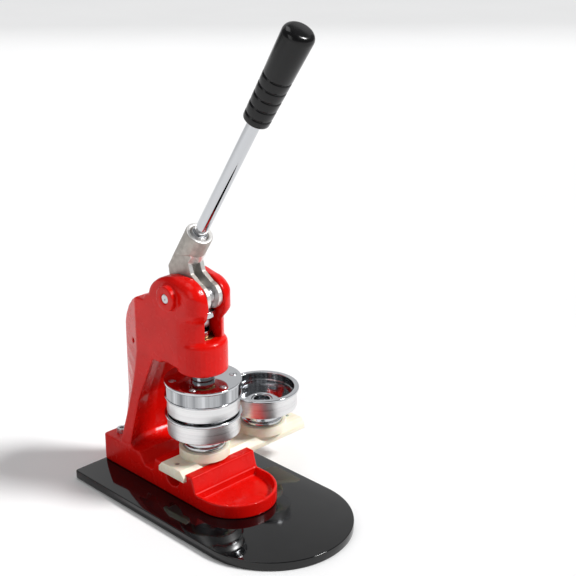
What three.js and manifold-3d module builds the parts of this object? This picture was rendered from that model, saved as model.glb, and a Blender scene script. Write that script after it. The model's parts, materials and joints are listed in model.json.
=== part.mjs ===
// Button badge maker: a hand lever press that crimps round pin badges.
// Millimetres, +Z up. X = 0, Y = 0 is the ram axis and z = 0 is the underside of the board.
// -Y is the operator's side, and the idle lower die waits on the +X side.
import * as THREE from 'three';
import { mergeVertices } from 'three/addons/utils/BufferGeometryUtils.js';
import Module from 'manifold-3d';

const wasm = await Module();
wasm.setup();

// ---------- Facets round a circle ----------
const wideFacets = 32; // dies and nose
const facets = 20;
const slimFacets = 16; // pins and bolts
const holeFacets = 10;

// ---------- Clearances ----------
const seat = 0.2; // between two faces that rest on each other
const slip = 0.25; // radial, a shaft in its hole
const runClear = 0.4; // round the rail in its dovetail channel
const openClear = 0.9; // radial, at the link's lower eye
const sideClear = 0.3; // between link and cheek
const slotClear = 0.5; // between cheek and ear

// ---------- Board ----------
const boardWidth = 163.4;
const boardLength = 298.4;
const boardThickness = 9;
const boardCornerRadius = 2.5;
const boardEdgeBevel = 0.8;

// ---------- Frame casting: base ----------
const baseWidth = 85.5;
const baseLength = 205.8;
const padHeight = 30;
const rearMargin = 9.6; // rear rib to the base's rear face
const lipHeight = 32;
const lipWidth = 14;
const lipSlope = 5; // how far the front lip's face leans out at its foot
const valleyHeight = 18;
const valleyWidth = 18; // rear lip to the foot of the pad's slope
const valleySlope = 8;
const rearLipSlope = [1.5, 5]; // how far it leans back at its top and its foot
const rimHeight = 15;
const rimWidth = 3.2;
const baseCornerRadius = 4;
const trayDepth = 7.5;
const trayFillet = 2;
const grooveRadius = 11; // runs under the rail

// ---------- Frame casting: column and head ----------
const headWidth = 54;
const flarePower = 1.35; // how the column widens towards its foot
const ribWidth = 30;
const columnDepth = 53.8; // throat to the rear rib, under the head
const columnRise = 65.5; // top of the rear rib above the nose underside
const creaseDepth = 18.4; // throat to the side face's rear crease, under the head
const creaseSweep = 15; // how far the crease runs back at the foot
const throatTopClear = 13.8; // column to the die's rim, under the head
const throatWaistClear = [[22.2, 18.5], [33.2, 47.5]]; // the same, and how far under the nose
const throatFootClear = 42.2;
const noseRadius = 26.3;
const noseLength = 35.4; // nose underside to slot floor
const noseRound = 6;
const earRadius = 25.5;
const earCornerRadius = 17; // in plan, from the slot's edge round to the side
const earBevel = 3.6;
const earDome = [14, 11]; // how far the ear's rounded edge runs in from the side and down from the top
const earRise = 20.7; // top of the ears above the pivot
const earLead = 15.6; // centre of the ear's front lobe ahead of the pivot
const tailLobe = [ // the ear's rear edge, from the pivot
  [34, -3.7], [32.7, 0.8], [30.4, 4.8], [26.2, 9.5], [18.9, 14.9], [11.4, 18.5],
];
const waistSetBack = 6.6; // the waist's round front is centred this far behind the ram
const waistRise = 21; // above the slot floor, where the waist ends
const lobeRise = 31; // above the slot floor, where the ears have their full plan
const pivotBehindRam = 16.6;
const pivotRise = 78.7; // above the nose underside
const bossRadius = 13;
const bossRise = 6;
const slotRearGap = 21.5; // pivot to the slot's rear wall
const facetHoleRadius = 2.6;
const spotFaceReach = 34; // clear height over each rear bolt

// ---------- Rail ----------
const railRaise = 24; // underside above the board
const railHeight = 11.4;
const railWidth = 39;
const railTopWidth = 28;
const railFlange = 5.5;
const railOverhang = 46; // past each die's axis
const railBossRadius = 26.2;
const railBossHeight = 10;
const footSocketDepth = 2;
const endScrewInset = 9;
const endScrewRadius = 2.35;
const endScrewDepth = 5;
const stopScrewRadius = 2;
const stopScrewOffset = 13;
const stopScrewFoot = 4; // its foot above the board, in the casting
const stopSlotDepth = 4;

// ---------- Lower dies ----------
const cupRadius = 37.5;
const cupHeight = 21.9;
const cupWall = 4.6;
const cupFloor = 2.3;
const rimLip = 2.3;
const rimLipHeight = 2.6;
const dieSideGap = 2.6;
const dieFootRadius = 21.9;
const dieFootHeight = 16.1;
const footSteps = [[0.7, 3.6], [0.8, 7.4], [0.89, 12]]; // share of the foot's radius, depth under the cup
const centreHoleRadius = 8.5;
const centreTubeWall = 2.4;
const platformThickness = 2.4;
const platformTravel = 2;
const waveSpringHeight = 2.2;
const waveSpringInner = 17;
const waveSpringOuter = 22;
const waveSpringGauge = 0.6;

// ---------- Upper die ----------
const dieGap = 1.9; // ring to the rim below it, handle up
const ringShow = 16.3;
const ringWall = 4.05;
const ringHidden = 0.7; // ring wall inside the shell, handle up
const ringFlangeRise = 8.5;
const ringFlangeThickness = 2.5;
const shellHeight = 14.8;
const shellWall = 1.15;
const shellWeb = 2.3;
const shellLip = 0.8;
const plateThickness = 3;
const plateOverhang = 1;
const punchRecess = 1;
const punchThickness = 4;
const punchHubRadius = 20;
const dieScrewCircle = 31.4;
const dieScrewCount = 6;
const nutHeight = 10.3;

// ---------- Ram, link and handle ----------
const ramRadius = 8.3;
const ramStudRadius = 6;
const ramHeadRadius = 15;
const ramHeadHeight = 6.5;
const ramHeadRise = 22.5; // head's underside above the slot floor
const bushWall = 4;
const bushLength = 5.8;
const linkThickness = 9.2;
const linkWidth = 11;
const linkTopEye = 8;
const linkLowEye = 7;
const linkPinRise = 15; // lower link pin above the slot floor
const crankPinRadius = 4;
const ramPinRadius = 3.2;
const pivotPinRadius = 4.8;
const crankReach = 24.6;
const crankRise = 1.2;
const cheekThickness = 5.1;
const forkHubRadius = 13.2;
const forkLobeRadius = 14;
const neckRear = 10; // the neck's rear face behind the socket's axis
const neckFront = 10.8;
const stepRise = 9.2; // where the round flanks start above the socket's foot, at the front
const setScrewDrop = 11; // below the socket's mouth
const setScrewTurn = 48; // degrees round the socket
const setScrewRadius = 2.1;
const mouthRelief = 1.4;
const handleLean = THREE.MathUtils.degToRad(33);
const socketOffset = 20.3; // handle axis behind the pivot
const socketRadius = 14;
const socketFoot = 34;
const socketMouth = 64;
const rodRadius = 6.5;
const rodShow = 148.7; // between socket mouth and grip
const sleeveWall = 2.2;
const gripLength = 103;
const gripLowRadius = 12.8;
const gripTopRadius = 15.2;
const gripGrooveCount = 5;
const gripGroovePitch = 11;
const gripGrooveStart = 7.5;
const gripGrooveDepth = 1.1;

// ---------- Fasteners ----------
const baseBoltRadius = 3;
const baseBoltHeadRadius = 5.5;
const baseBoltHeadHeight = 5;
const baseBoltInset = 16; // from the base's side, and from its rear face a little less
const baseNutHeight = 4.6;
const dieBoltRadius = 3;
const dieBoltHeadRadius = 5.5;
const punchBoltRadius = 3.5;
const punchBoltHeadRadius = 6.5;
const plateScrewRadius = 1.6;
const ringBoltRadius = 2;
const dieScrewHeadRadius = 3.6;
const dieScrewHeadHeight = 2;

// ---------- Heights and places that follow ----------
const baseZ = boardThickness + seat;
const padTopZ = boardThickness + padHeight;
const lipTopZ = boardThickness + lipHeight;
const valleyZ = boardThickness + valleyHeight;
const rimTopZ = boardThickness + rimHeight;
const railZ = boardThickness + railRaise;
const railTopZ = railZ + railHeight;
const bossTopZ = railTopZ + railBossHeight;
const dieFootZ = bossTopZ - footSocketDepth + seat;
const cupZ = bossTopZ + seat + dieFootHeight;
const cupTopZ = cupZ + cupHeight;
const ringZ = cupTopZ + dieGap;
const shellZ = ringZ + ringShow;
const shellTopZ = shellZ + shellHeight;
const plateZ = shellTopZ + seat;
const plateTopZ = plateZ + plateThickness;
const nutZ = plateTopZ + seat;
const noseZ = nutZ + nutHeight + slip;
const slotFloorZ = noseZ + noseLength;
const pivotZ = noseZ + pivotRise;
const ramHeadZ = slotFloorZ + ramHeadRise;
const ramPinZ = slotFloorZ + linkPinRise;

const rimRadius = cupRadius + rimLip;
const cupBore = cupRadius - cupWall;
const dieSpacing = 2 * rimRadius + dieSideGap;
const throatRadius = rimRadius + throatTopClear;
const ribRearY = throatRadius + columnDepth;
const baseRearY = ribRearY + rearMargin;
const boardRearY = baseRearY;
const baseRound = baseWidth / 2;
const baseFrontY = baseRearY - baseLength + baseRound; // centre of the round front
const boardFrontY = boardRearY - boardLength + boardWidth / 2;
const lipInnerY = railTopWidth / 2 + runClear;
const lipOuterY = lipInnerY + lipWidth;
const cheekInnerX = linkThickness / 2 + sideClear;
const cheekOuterX = cheekInnerX + cheekThickness;
const slotHalf = cheekOuterX + slotClear;
const pivotY = pivotBehindRam;
const crankY = pivotY - crankReach;
const crankZ = pivotZ + crankRise;
const gripZ = socketMouth + rodShow;

// ---------- Solids from three.js geometry ----------
function solid(geometry) {
  geometry.deleteAttribute('normal');
  geometry.deleteAttribute('uv');
  const merged = mergeVertices(geometry, 1e-4);
  const corner = (i) => new THREE.Vector3().fromBufferAttribute(merged.attributes.position, i);
  const triangles = [];
  let volume = 0;
  for (let i = 0; i < merged.index.count; i += 3) {
    const [a, b, c] = [0, 1, 2].map((k) => merged.index.getX(i + k));
    if (a === b || b === c || c === a) continue;
    triangles.push(a, b, c);
    volume += corner(a).dot(corner(b).cross(corner(c)));
  }
  if (volume < 0) triangles.reverse();
  return new wasm.Manifold(new wasm.Mesh({
    numProp: 3,
    vertProperties: new Float32Array(merged.attributes.position.array),
    triVerts: new Uint32Array(triangles),
  }));
}

function joined(first, ...others) {
  return others.reduce((whole, other) => whole.add(other), first);
}

function cut(whole, ...tools) {
  return tools.reduce((rest, tool) => rest.subtract(tool), whole);
}

// An upright cylinder.
function disc(radius, low, high, segments = facets, x = 0, y = 0) {
  const geometry = new THREE.CylinderGeometry(radius, radius, high - low, segments);
  geometry.rotateX(Math.PI / 2);
  geometry.translate(x, y, (low + high) / 2);
  return solid(geometry);
}

// A cylinder along X.
function axle(radius, left, right, y, z, segments = slimFacets) {
  const geometry = new THREE.CylinderGeometry(radius, radius, right - left, segments);
  geometry.rotateZ(Math.PI / 2);
  geometry.translate((left + right) / 2, y, z);
  return solid(geometry);
}

function block(left, right, front, rear, low, high) {
  const geometry = new THREE.BoxGeometry(right - left, rear - front, high - low);
  geometry.translate((left + right) / 2, (front + rear) / 2, (low + high) / 2);
  return solid(geometry);
}

// A turned piece from its [radius, height] profile, which ends on the axis or closes on itself.
function turned(profile, segments = facets) {
  const onAxis = profile[0][0] === 0;
  const outline = onAxis ? profile : [...profile, profile[0]];
  const geometry = new THREE.LatheGeometry(outline.map(([r, z]) => new THREE.Vector2(r, z)), segments);
  geometry.rotateX(Math.PI / 2);
  return solid(geometry);
}

function outline(points) {
  return new THREE.Shape(points.map(([a, b]) => new THREE.Vector2(a, b)));
}

// Points along an arc, both ends included.
function arc(centreA, centreB, radius, from, to, steps) {
  return Array.from({ length: steps + 1 }, (_, i) => {
    const angle = from + ((to - from) * i) / steps;
    return [centreA + radius * Math.cos(angle), centreB + radius * Math.sin(angle)];
  });
}

// A plan outline in X and Y, raised from low to high.
function raised(shape, low, high, bevel = 0) {
  const geometry = new THREE.ExtrudeGeometry(shape, {
    depth: high - low - 2 * bevel,
    bevelEnabled: bevel > 0,
    bevelSize: bevel,
    bevelOffset: -bevel,
    bevelThickness: bevel,
    bevelSegments: 1,
  });
  geometry.translate(0, 0, low + bevel);
  return solid(geometry);
}

// A side outline in Y and Z, drawn across from left to right.
function across(shape, left, right, bevelThickness = 0, bevelSize = bevelThickness, bevelSegments = 1) {
  const geometry = new THREE.ExtrudeGeometry(shape, {
    depth: right - left - 2 * bevelThickness,
    bevelEnabled: bevelThickness > 0,
    bevelSize,
    bevelOffset: -bevelSize,
    bevelThickness,
    bevelSegments,
  });
  geometry.translate(0, 0, left + bevelThickness);
  const axes = [new THREE.Vector3(0, 1, 0), new THREE.Vector3(0, 0, 1), new THREE.Vector3(1, 0, 0)];
  geometry.applyMatrix4(new THREE.Matrix4().makeBasis(...axes));
  return solid(geometry);
}

class Helix extends THREE.Curve {
  constructor(radius, low, high, turns) {
    super();
    Object.assign(this, { radius, low, high, turns });
  }

  getPoint(t, target = new THREE.Vector3()) {
    const angle = 2 * Math.PI * this.turns * t;
    const z = this.low + (this.high - this.low) * t;
    return target.set(this.radius * Math.cos(angle), this.radius * Math.sin(angle), z);
  }
}

// A coil spring that stands between two faces.
function coil(radius, wireRadius, low, high, turns, stepsPerTurn = 12, sides = 3) {
  const section = new THREE.Shape();
  section.absarc(0, 0, wireRadius, 0, 2 * Math.PI);
  const inset = wireRadius * 1.35;
  const geometry = new THREE.ExtrudeGeometry(section, {
    steps: Math.round(turns * stepsPerTurn),
    curveSegments: sides,
    extrudePath: new Helix(radius, low + inset, high - inset, turns),
  });
  return solid(geometry);
}

// A socket-head cap screw, head up, with the head's underside at z = 0.
function capScrew(shankRadius, length, headRadius, headHeight, segments = holeFacets) {
  const edge = headHeight * 0.12;
  const profile = [
    [0, -length], [shankRadius, -length], [shankRadius, 0], [headRadius, 0],
    [headRadius, headHeight - edge], [headRadius - edge, headHeight], [0, headHeight],
  ];
  const hexagon = disc(headRadius * 0.5, headHeight * 0.45, headHeight + 1, 6);
  return cut(turned(profile, segments), hexagon);
}

// ---------- The assembly ----------
const badgePress = new THREE.Group();
const handle = new THREE.Group(); // its Z runs along the rod, and its origin is on the pivot
handle.position.set(0, pivotY, pivotZ);
handle.rotation.x = handleLean;
badgePress.add(handle);

const redPaint = { color: 0xd3170f, roughness: 0.25, metalness: 0 };
const blackAcrylic = { color: 0x0a0a0b, roughness: 0.06, metalness: 0 };
const blackGrip = { color: 0x0c0c0d, roughness: 0.3, metalness: 0 };
const chrome = { color: 0xe6e6e8, roughness: 0.08, metalness: 1 };
const brushedSteel = { color: 0xc9c9cb, roughness: 0.35, metalness: 1 };
const castAluminium = { color: 0xaaa69f, roughness: 0.5, metalness: 1 };
const bronze = { color: 0xa9783f, roughness: 0.35, metalness: 1 };
const springSteel = { color: 0x8b8c90, roughness: 0.3, metalness: 1 };
const creamNylon = { color: 0xe6dfc8, roughness: 0.5, metalness: 0 };

function piece(name, shape, finish, parent = badgePress) {
  const { vertProperties, triVerts } = shape.getMesh();
  const geometry = new THREE.BufferGeometry();
  geometry.setAttribute('position', new THREE.Float32BufferAttribute(vertProperties, 3));
  geometry.setIndex([...triVerts]);
  geometry.computeVertexNormals();
  const mesh = new THREE.Mesh(geometry, new THREE.MeshStandardMaterial(finish));
  mesh.name = name;
  parent.add(mesh);
  return mesh;
}

// A plan outline with a half-round front, in X and Y.
function roundFronted(halfWidth, frontY, rearY, cornerRadius) {
  const cornerX = halfWidth - cornerRadius;
  const cornerY = rearY - cornerRadius;
  return outline([
    ...arc(0, frontY, halfWidth, Math.PI, 2 * Math.PI, wideFacets),
    ...arc(cornerX, cornerY, cornerRadius, 0, Math.PI / 2, 3),
    ...arc(-cornerX, cornerY, cornerRadius, Math.PI / 2, Math.PI, 3),
  ]);
}

// ---------- Board and base fasteners ----------
const rearBoltX = baseWidth / 2 - baseBoltInset;
const rearBoltY = baseRearY - baseBoltInset * 0.77;
const frontScrewX = baseWidth * 0.34;
const frontScrewY = -(lipInnerY + lipWidth / 2);
const frontScrewDepth = 12; // into the casting
const nutRadius = baseBoltRadius * 1.9;
const recessRadius = nutRadius + 2 * slip;
const screwHoleRadius = baseBoltRadius + slip;
const nutZLow = seat * 3;

function makeBoard() {
  const shape = roundFronted(boardWidth / 2, boardFrontY, boardRearY, boardCornerRadius);
  let board = raised(shape, 0, boardThickness, boardEdgeBevel);
  for (const side of [-1, 1]) {
    board = cut(
      board,
      disc(screwHoleRadius, -1, boardThickness + 1, holeFacets, side * rearBoltX, rearBoltY),
      disc(recessRadius, -1, nutZLow + baseNutHeight + seat, holeFacets, side * rearBoltX, rearBoltY),
      disc(screwHoleRadius, -1, boardThickness + 1, holeFacets, side * frontScrewX, frontScrewY),
      disc(recessRadius, -1, baseBoltRadius + seat, holeFacets, side * frontScrewX, frontScrewY),
    );
  }
  piece('base_board', board, blackAcrylic);
}

function makeBaseFasteners() {
  const boltLength = padTopZ - nutZLow - seat;
  const bolt = () => capScrew(baseBoltRadius, boltLength, baseBoltHeadRadius, baseBoltHeadHeight, slimFacets);
  const nutHole = disc(screwHoleRadius, nutZLow - 1, nutZLow + baseNutHeight + 1, holeFacets);
  const nut = () => cut(disc(nutRadius, nutZLow, nutZLow + baseNutHeight, 6), nutHole);
  const headHeight = baseBoltRadius - nutZLow;
  const screwTop = baseZ + frontScrewDepth - seat;
  const screw = () => cut(
    turned([
      [0, nutZLow], [nutRadius, nutZLow], [nutRadius, nutZLow + headHeight * 0.4],
      [baseBoltRadius, nutZLow + headHeight], [baseBoltRadius, screwTop], [0, screwTop],
    ], holeFacets),
    disc(baseBoltRadius * 0.6, nutZLow - 1, nutZLow + headHeight * 0.6, 6),
  );
  for (const [name, side] of [['left', -1], ['right', 1]]) {
    piece(`base_bolt_${name}`, bolt(), chrome).position.set(side * rearBoltX, rearBoltY, padTopZ + seat);
    piece(`base_nut_${name}`, nut(), brushedSteel).position.set(side * rearBoltX, rearBoltY, 0);
    piece(`front_screw_${name}`, screw(), brushedSteel).position.set(side * frontScrewX, frontScrewY, 0);
  }
}

// ---------- Frame casting ----------
const boreRadius = ramRadius + bushWall + 2 * slip;
const facetHole = { x: -24, y: throatRadius + columnDepth * 0.52, z: noseZ + 12.5 };

// The base's stepped top: pad, valley, two lips beside the rail, and the front tray's rim.
function makeBase() {
  const front = baseFrontY - baseRound - 1;
  const side = outline([
    [front, baseZ],
    [baseRearY + 1, baseZ],
    [baseRearY + 1, padTopZ],
    [lipOuterY + valleyWidth + valleySlope, padTopZ],
    [lipOuterY + valleyWidth, valleyZ],
    [lipOuterY + rearLipSlope[1], valleyZ],
    [lipOuterY + rearLipSlope[0], lipTopZ],
    [-lipOuterY, lipTopZ],
    [-lipOuterY - lipSlope, rimTopZ],
    [front, rimTopZ],
  ]);
  const half = baseWidth / 2;
  const plan = raised(roundFronted(half, baseFrontY, baseRearY, baseCornerRadius), baseZ, lipTopZ + 1);
  const body = across(side, -half - 1, half + 1).intersect(plan);
  const trayPlan = roundFronted(half - rimWidth, baseFrontY, baseRearY, baseCornerRadius);
  const trayRear = -lipOuterY - lipSlope - 1;
  const trayFront = block(-half, half, baseFrontY - baseRound, trayRear, baseZ, rimTopZ + 1);
  const trayTop = rimTopZ + trayFillet;
  const tray = raised(trayPlan, rimTopZ - trayDepth, trayTop, trayFillet).intersect(trayFront);
  return cut(body, tray);
}

// The dovetail outline shared by the rail and its channel, grown by a clearance.
function dovetail(clear, low) {
  const topHalf = railTopWidth / 2 + clear;
  const footHalf = railWidth / 2 + clear;
  const top = railTopZ + (clear > 0 ? 30 : 0);
  return outline([
    [-footHalf, low], [footHalf, low], [footHalf, railZ + railFlange + clear],
    [topHalf, railTopZ + clear], [topHalf, top], [-topHalf, top], [-topHalf, railTopZ + clear],
    [-footHalf, railZ + railFlange + clear],
  ].filter(([, z], i, all) => i === 0 || z !== all[i - 1][1] || all[i][0] !== all[i - 1][0]));
}

// The column: a flared plan outline, drawn up from the foot to the head.
function makeColumn() {
  const low = baseZ + 5;
  const high = noseZ + columnRise + 10;
  const waist = headWidth / 2;
  const rib = ribWidth / 2;
  const frontY = throatRadius - 20;
  const creaseY = throatRadius + creaseDepth;
  const ribEdge = 4;
  const plan = outline([
    [waist, frontY], [waist, creaseY], [rib, ribRearY - ribEdge + 1], [rib - ribEdge, ribRearY + 3],
    [ribEdge - rib, ribRearY + 3], [-rib, ribRearY - ribEdge + 1], [-waist, creaseY], [-waist, frontY],
  ]);
  const geometry = new THREE.ExtrudeGeometry(plan, { depth: high - low, steps: 14, bevelEnabled: false });
  const place = geometry.attributes.position;
  const widen = baseWidth / 2 - waist;
  const flareTopZ = noseZ + 6;
  for (let i = 0; i < place.count; i += 1) {
    const z = place.getZ(i) + low;
    const share = THREE.MathUtils.clamp((flareTopZ - z) / (flareTopZ - padTopZ), 0, 1);
    const flare = share ** flarePower;
    const outer = Math.abs(place.getX(i)) > rib + 1;
    const behind = place.getY(i) > throatRadius;
    const shift = outer && behind ? creaseSweep * flare : 0;
    const grow = outer ? widen * flare : 0;
    place.setXYZ(i, place.getX(i) + Math.sign(place.getX(i)) * grow, place.getY(i) + shift, z);
  }
  // The rib's rear edge, as [set back from its rearmost face, height above the nose underside].
  const ribEdgeLine = [
    [2.6, low - 1 - noseZ], [2.6, -74], [1.8, -28], [1.2, 0], [-1.5, 24], [-6.6, 36], [-15.4, 48],
    [-27.4, 59], [-38, columnRise],
  ].map(([back, rise]) => [ribRearY + back, noseZ + rise]);
  const inFront = frontY - 1;
  const side = outline([[inFront, low - 1], ...ribEdgeLine, [inFront, noseZ + columnRise]]);
  return solid(geometry).intersect(across(side, -baseWidth, baseWidth));
}

// The side outline of head and ears, in Y and Z.
function headOutline() {
  const top = pivotZ + earRise;
  const creaseY = throatRadius + creaseDepth;
  const waistY = waistSetBack - headWidth / 2;
  const rearLobe = [...tailLobe, [2.4, earRise]];
  return outline([
    [creaseY, noseZ + 2], [creaseY + 2, noseZ + 27], [creaseY - 1, noseZ + 48],
    [throatRadius + 4.4, noseZ + 70],
    ...rearLobe.map(([back, rise]) => [pivotY + back, pivotZ + rise]),
    ...arc(pivotY - earLead, top - earRadius, earRadius, Math.PI / 2, Math.PI * 1.13, 10),
    [waistY, slotFloorZ + waistRise], [waistY, noseZ + 1.5], [3, noseZ + 2.6], [23, noseZ + 5],
    [throatRadius - 5.6, noseZ + 3], [throatRadius + 5.4, noseZ + 1],
  ]);
}

// The head's plan: half-round at the waist, and squarer where the ears bulge forward.
function makeHeadPlan() {
  const half = headWidth / 2;
  const low = noseZ + 1;
  const high = pivotZ + earRise + 1;
  const frontY = pivotY - earLead - earRadius;
  const rearY = throatRadius + creaseDepth + 3;
  const cornerX = half - earCornerRadius;
  const cornerY = frontY + earCornerRadius;
  const quarters = 8;
  const waist = arc(0, waistSetBack, half, Math.PI, 2 * Math.PI, 2 * quarters);
  const ear = [
    ...arc(-cornerX, cornerY, earCornerRadius, Math.PI, Math.PI * 1.5, quarters),
    ...arc(cornerX, cornerY, earCornerRadius, Math.PI * 1.5, 2 * Math.PI, quarters).slice(1),
  ];
  const middle = (waistRise + lobeRise) / 2;
  const levels = [low, slotFloorZ + waistRise, slotFloorZ + middle, slotFloorZ + lobeRise, high];
  const earShare = [0, 0, 0.6, 1, 1];
  const flat = outline([...waist, [half, rearY], [-half, rearY]]);
  const steps = levels.length - 1;
  const geometry = new THREE.ExtrudeGeometry(flat, { depth: steps, steps, bevelEnabled: false });
  const place = geometry.attributes.position;
  for (let i = 0; i < place.count; i += 1) {
    const [x, y] = [place.getX(i), place.getY(i)];
    const level = Math.round(place.getZ(i));
    const at = waist.findIndex(([a, b]) => Math.hypot(a - x, b - y) < 1e-3);
    const [earX, earY] = at < 0 ? [x, y] : ear[at];
    const share = earShare[level];
    place.setXYZ(i, x + (earX - x) * share, y + (earY - y) * share, levels[level]);
  }
  return solid(geometry);
}

// The ears' tops round over towards their sides, more in front than behind.
function makeEarDome() {
  const half = headWidth / 2;
  const top = pivotZ + earRise;
  const low = noseZ - 40;
  const front = arc(pivotY - earLead, top - earRadius, earRadius, Math.PI, Math.PI / 2, 8);
  const behind = [[pivotY, 3], [pivotY + 22, 3], [throatRadius, -4], [ribRearY, -4]];
  return across(outline([
    [ribRearY, low], [pivotY - earLead - earRadius, low], ...front,
    ...behind.map(([y, over]) => [y, top + over]),
  ]), -half, half, ...earDome, 4);
}

function makeFrame() {
  const waist = headWidth / 2;
  const profile = across(headOutline(), -waist, waist, earBevel, earBevel, 2);
  const head = profile.intersect(makeHeadPlan()).intersect(makeEarDome());
  const nose = turned([
    [0, noseZ], [noseRadius - 1, noseZ], [noseRadius, noseZ + 1],
    ...arc(noseRadius - noseRound, slotFloorZ - noseRound, noseRound, 0, Math.PI / 2, 3), [0, slotFloorZ],
  ], wideFacets);
  const throatFootZ = lipTopZ - 4;
  const throat = turned([
    [0, throatFootZ - 10], [rimRadius + throatFootClear - 14, throatFootZ - 10],
    [rimRadius + throatFootClear, throatFootZ + 6],
    ...throatWaistClear.map(([clear, under]) => [rimRadius + clear, noseZ - under]).reverse(),
    [throatRadius, noseZ + 3], [0, noseZ + 3],
  ], wideFacets);
  const column = cut(makeColumn(), throat);
  const bossReach = waist + bossRise;
  const bosses = axle(bossRadius, -bossReach, bossReach, pivotY, pivotZ, facets);
  const channelLow = railZ - runClear;
  const half = baseWidth / 2;
  const beyond = half + 2; // cutters run out past the base's sides
  let frame = joined(makeBase(), column, head, nose, bosses);
  frame = cut(
    frame,
    across(dovetail(runClear, channelLow), -beyond, beyond),
    axle(grooveRadius, -beyond, beyond, 1.5, channelLow - 1, slimFacets),
    block(-slotHalf, slotHalf, -60, pivotY + slotRearGap, slotFloorZ, pivotZ + 60),
    disc(boreRadius, noseZ - 2, slotFloorZ + 2),
    axle(pivotPinRadius + slip, -bossReach - 1, bossReach + 1, pivotY, pivotZ),
    axle(facetHoleRadius, facetHole.x - 12, facetHole.x + 14, facetHole.y, facetHole.z, holeFacets),
    disc(stopScrewRadius + slip, baseZ + stopScrewFoot, railZ, holeFacets, 0, stopScrewOffset),
  );
  for (const side of [-1, 1]) {
    const boltX = side * rearBoltX;
    frame = cut(
      frame,
      disc(screwHoleRadius, baseZ - 1, padTopZ + 1, holeFacets, boltX, rearBoltY),
      disc(baseBoltHeadRadius + 3 * slip, padTopZ, padTopZ + spotFaceReach, slimFacets, boltX, rearBoltY),
      disc(screwHoleRadius, baseZ - 1, baseZ + frontScrewDepth, holeFacets, side * frontScrewX, frontScrewY),
    );
  }
  piece('frame_casting', frame, redPaint);
}

// ---------- Ram guide ----------
const springCollarHeight = 2;
const upperBushZ = slotFloorZ - bushLength;
const springCollarZ = upperBushZ - springCollarHeight - 1.7;

function makeRamGuide() {
  const outer = boreRadius - slip;
  const inner = ramRadius + slip;
  const bush = (low, high) => turned([[inner, low], [outer, low], [outer, high], [inner, high]]);
  piece('ram_bush_lower', bush(noseZ + seat, noseZ + seat + bushLength), bronze);
  piece('ram_bush_upper', bush(upperBushZ, slotFloorZ - seat), bronze);
  const collar = [
    [inner, springCollarZ], [outer - 2 * slip, springCollarZ],
    [outer - 2 * slip, springCollarZ + springCollarHeight], [inner, springCollarZ + springCollarHeight],
  ];
  piece('spring_collar', turned(collar), brushedSteel);
  const springLow = noseZ + 2 * seat + bushLength;
  piece('return_spring', coil((inner + outer) / 2, 0.65, springLow, springCollarZ - seat, 4.5), springSteel);
}

// ---------- Ram ----------
const punchBoltTopZ = shellTopZ - 1.6;
const studLowZ = ringZ + ringFlangeRise + 3;

function makeRam() {
  const shaft = turned([
    [0, studLowZ], [ramStudRadius, studLowZ], [ramStudRadius, nutZ], [ramRadius, nutZ],
    [ramRadius, ramHeadZ], [ramHeadRadius - 1, ramHeadZ], [ramHeadRadius, ramHeadZ + 1],
    [ramHeadRadius, ramHeadZ + ramHeadHeight - 1], [ramHeadRadius - 1, ramHeadZ + ramHeadHeight],
    [0, ramHeadZ + ramHeadHeight],
  ]);
  const far = ramHeadRadius + 5;
  const headTop = ramHeadZ + ramHeadHeight + 1;
  const pocketLow = ramPinZ - linkLowEye - 1.3;
  const ram = cut(
    shaft,
    block(cheekOuterX, far, -far, far, ramHeadZ - 1, headTop),
    block(-far, -cheekOuterX, -far, far, ramHeadZ - 1, headTop),
    block(-cheekInnerX, cheekInnerX, -11.6, 11.6, pocketLow, headTop),
    axle(ramPinRadius + slip, -far, far, 0, ramPinZ),
    disc(punchBoltRadius + slip, studLowZ - 1, punchBoltTopZ + 1.5, holeFacets),
  );
  piece('ram', ram, chrome);
  const pinHalf = ramRadius - 0.5;
  piece('ram_pin', axle(ramPinRadius, -pinHalf, pinHalf, 0, ramPinZ), brushedSteel);
  const inner = ramRadius + slip;
  const step = nutZ + nutHeight * 0.45;
  piece('ram_nut', turned([
    [inner, nutZ], [inner + 3, nutZ], [inner + 3.6, nutZ + 0.6], [inner + 3.6, step - 0.6],
    [inner + 3, step], [inner + 1.9, step], [inner + 1.9, nutZ + nutHeight - 0.5],
    [inner + 1.4, nutZ + nutHeight], [inner, nutZ + nutHeight],
  ]), chrome);
}

// ---------- Link ----------
// The strip between the two tangents of two circles, in Y and Z.
function tangentStrip([y1, z1], r1, [y2, z2], r2) {
  const along = Math.atan2(z2 - z1, y2 - y1);
  const at = (y, z, r, turn) => [y + r * Math.cos(along + turn), z + r * Math.sin(along + turn)];
  const side = Math.PI / 2;
  return outline([at(y1, z1, r1, -side), at(y2, z2, r2, -side), at(y2, z2, r2, side), at(y1, z1, r1, side)]);
}

function makeLink() {
  const half = linkThickness / 2;
  const body = tangentStrip([crankY, crankZ], linkWidth / 2, [0, ramPinZ], linkWidth / 2);
  const link = cut(
    joined(
      across(body, -half, half),
      axle(linkTopEye, -half, half, crankY, crankZ, facets),
      axle(linkLowEye, -half, half, 0, ramPinZ, facets),
    ),
    axle(crankPinRadius + slip, -half - 1, half + 1, crankY, crankZ),
    axle(ramPinRadius + openClear, -half - 1, half + 1, 0, ramPinZ),
  );
  piece('link', link, brushedSteel);
}

// ---------- Handle: fork, sleeve, rod and grip, in the handle's own frame ----------
const leanCos = Math.cos(handleLean);
const leanSin = Math.sin(handleLean);
const lobe = [-crankReach * leanCos + crankRise * leanSin, crankReach * leanSin + crankRise * leanCos];
const sleeveRadius = rodRadius + slip + sleeveWall;
const sleeveFoot = socketFoot + 10;

function socketTurned(profile, segments = facets) {
  return turned(profile, segments).translate([0, socketOffset, 0]);
}

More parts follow.
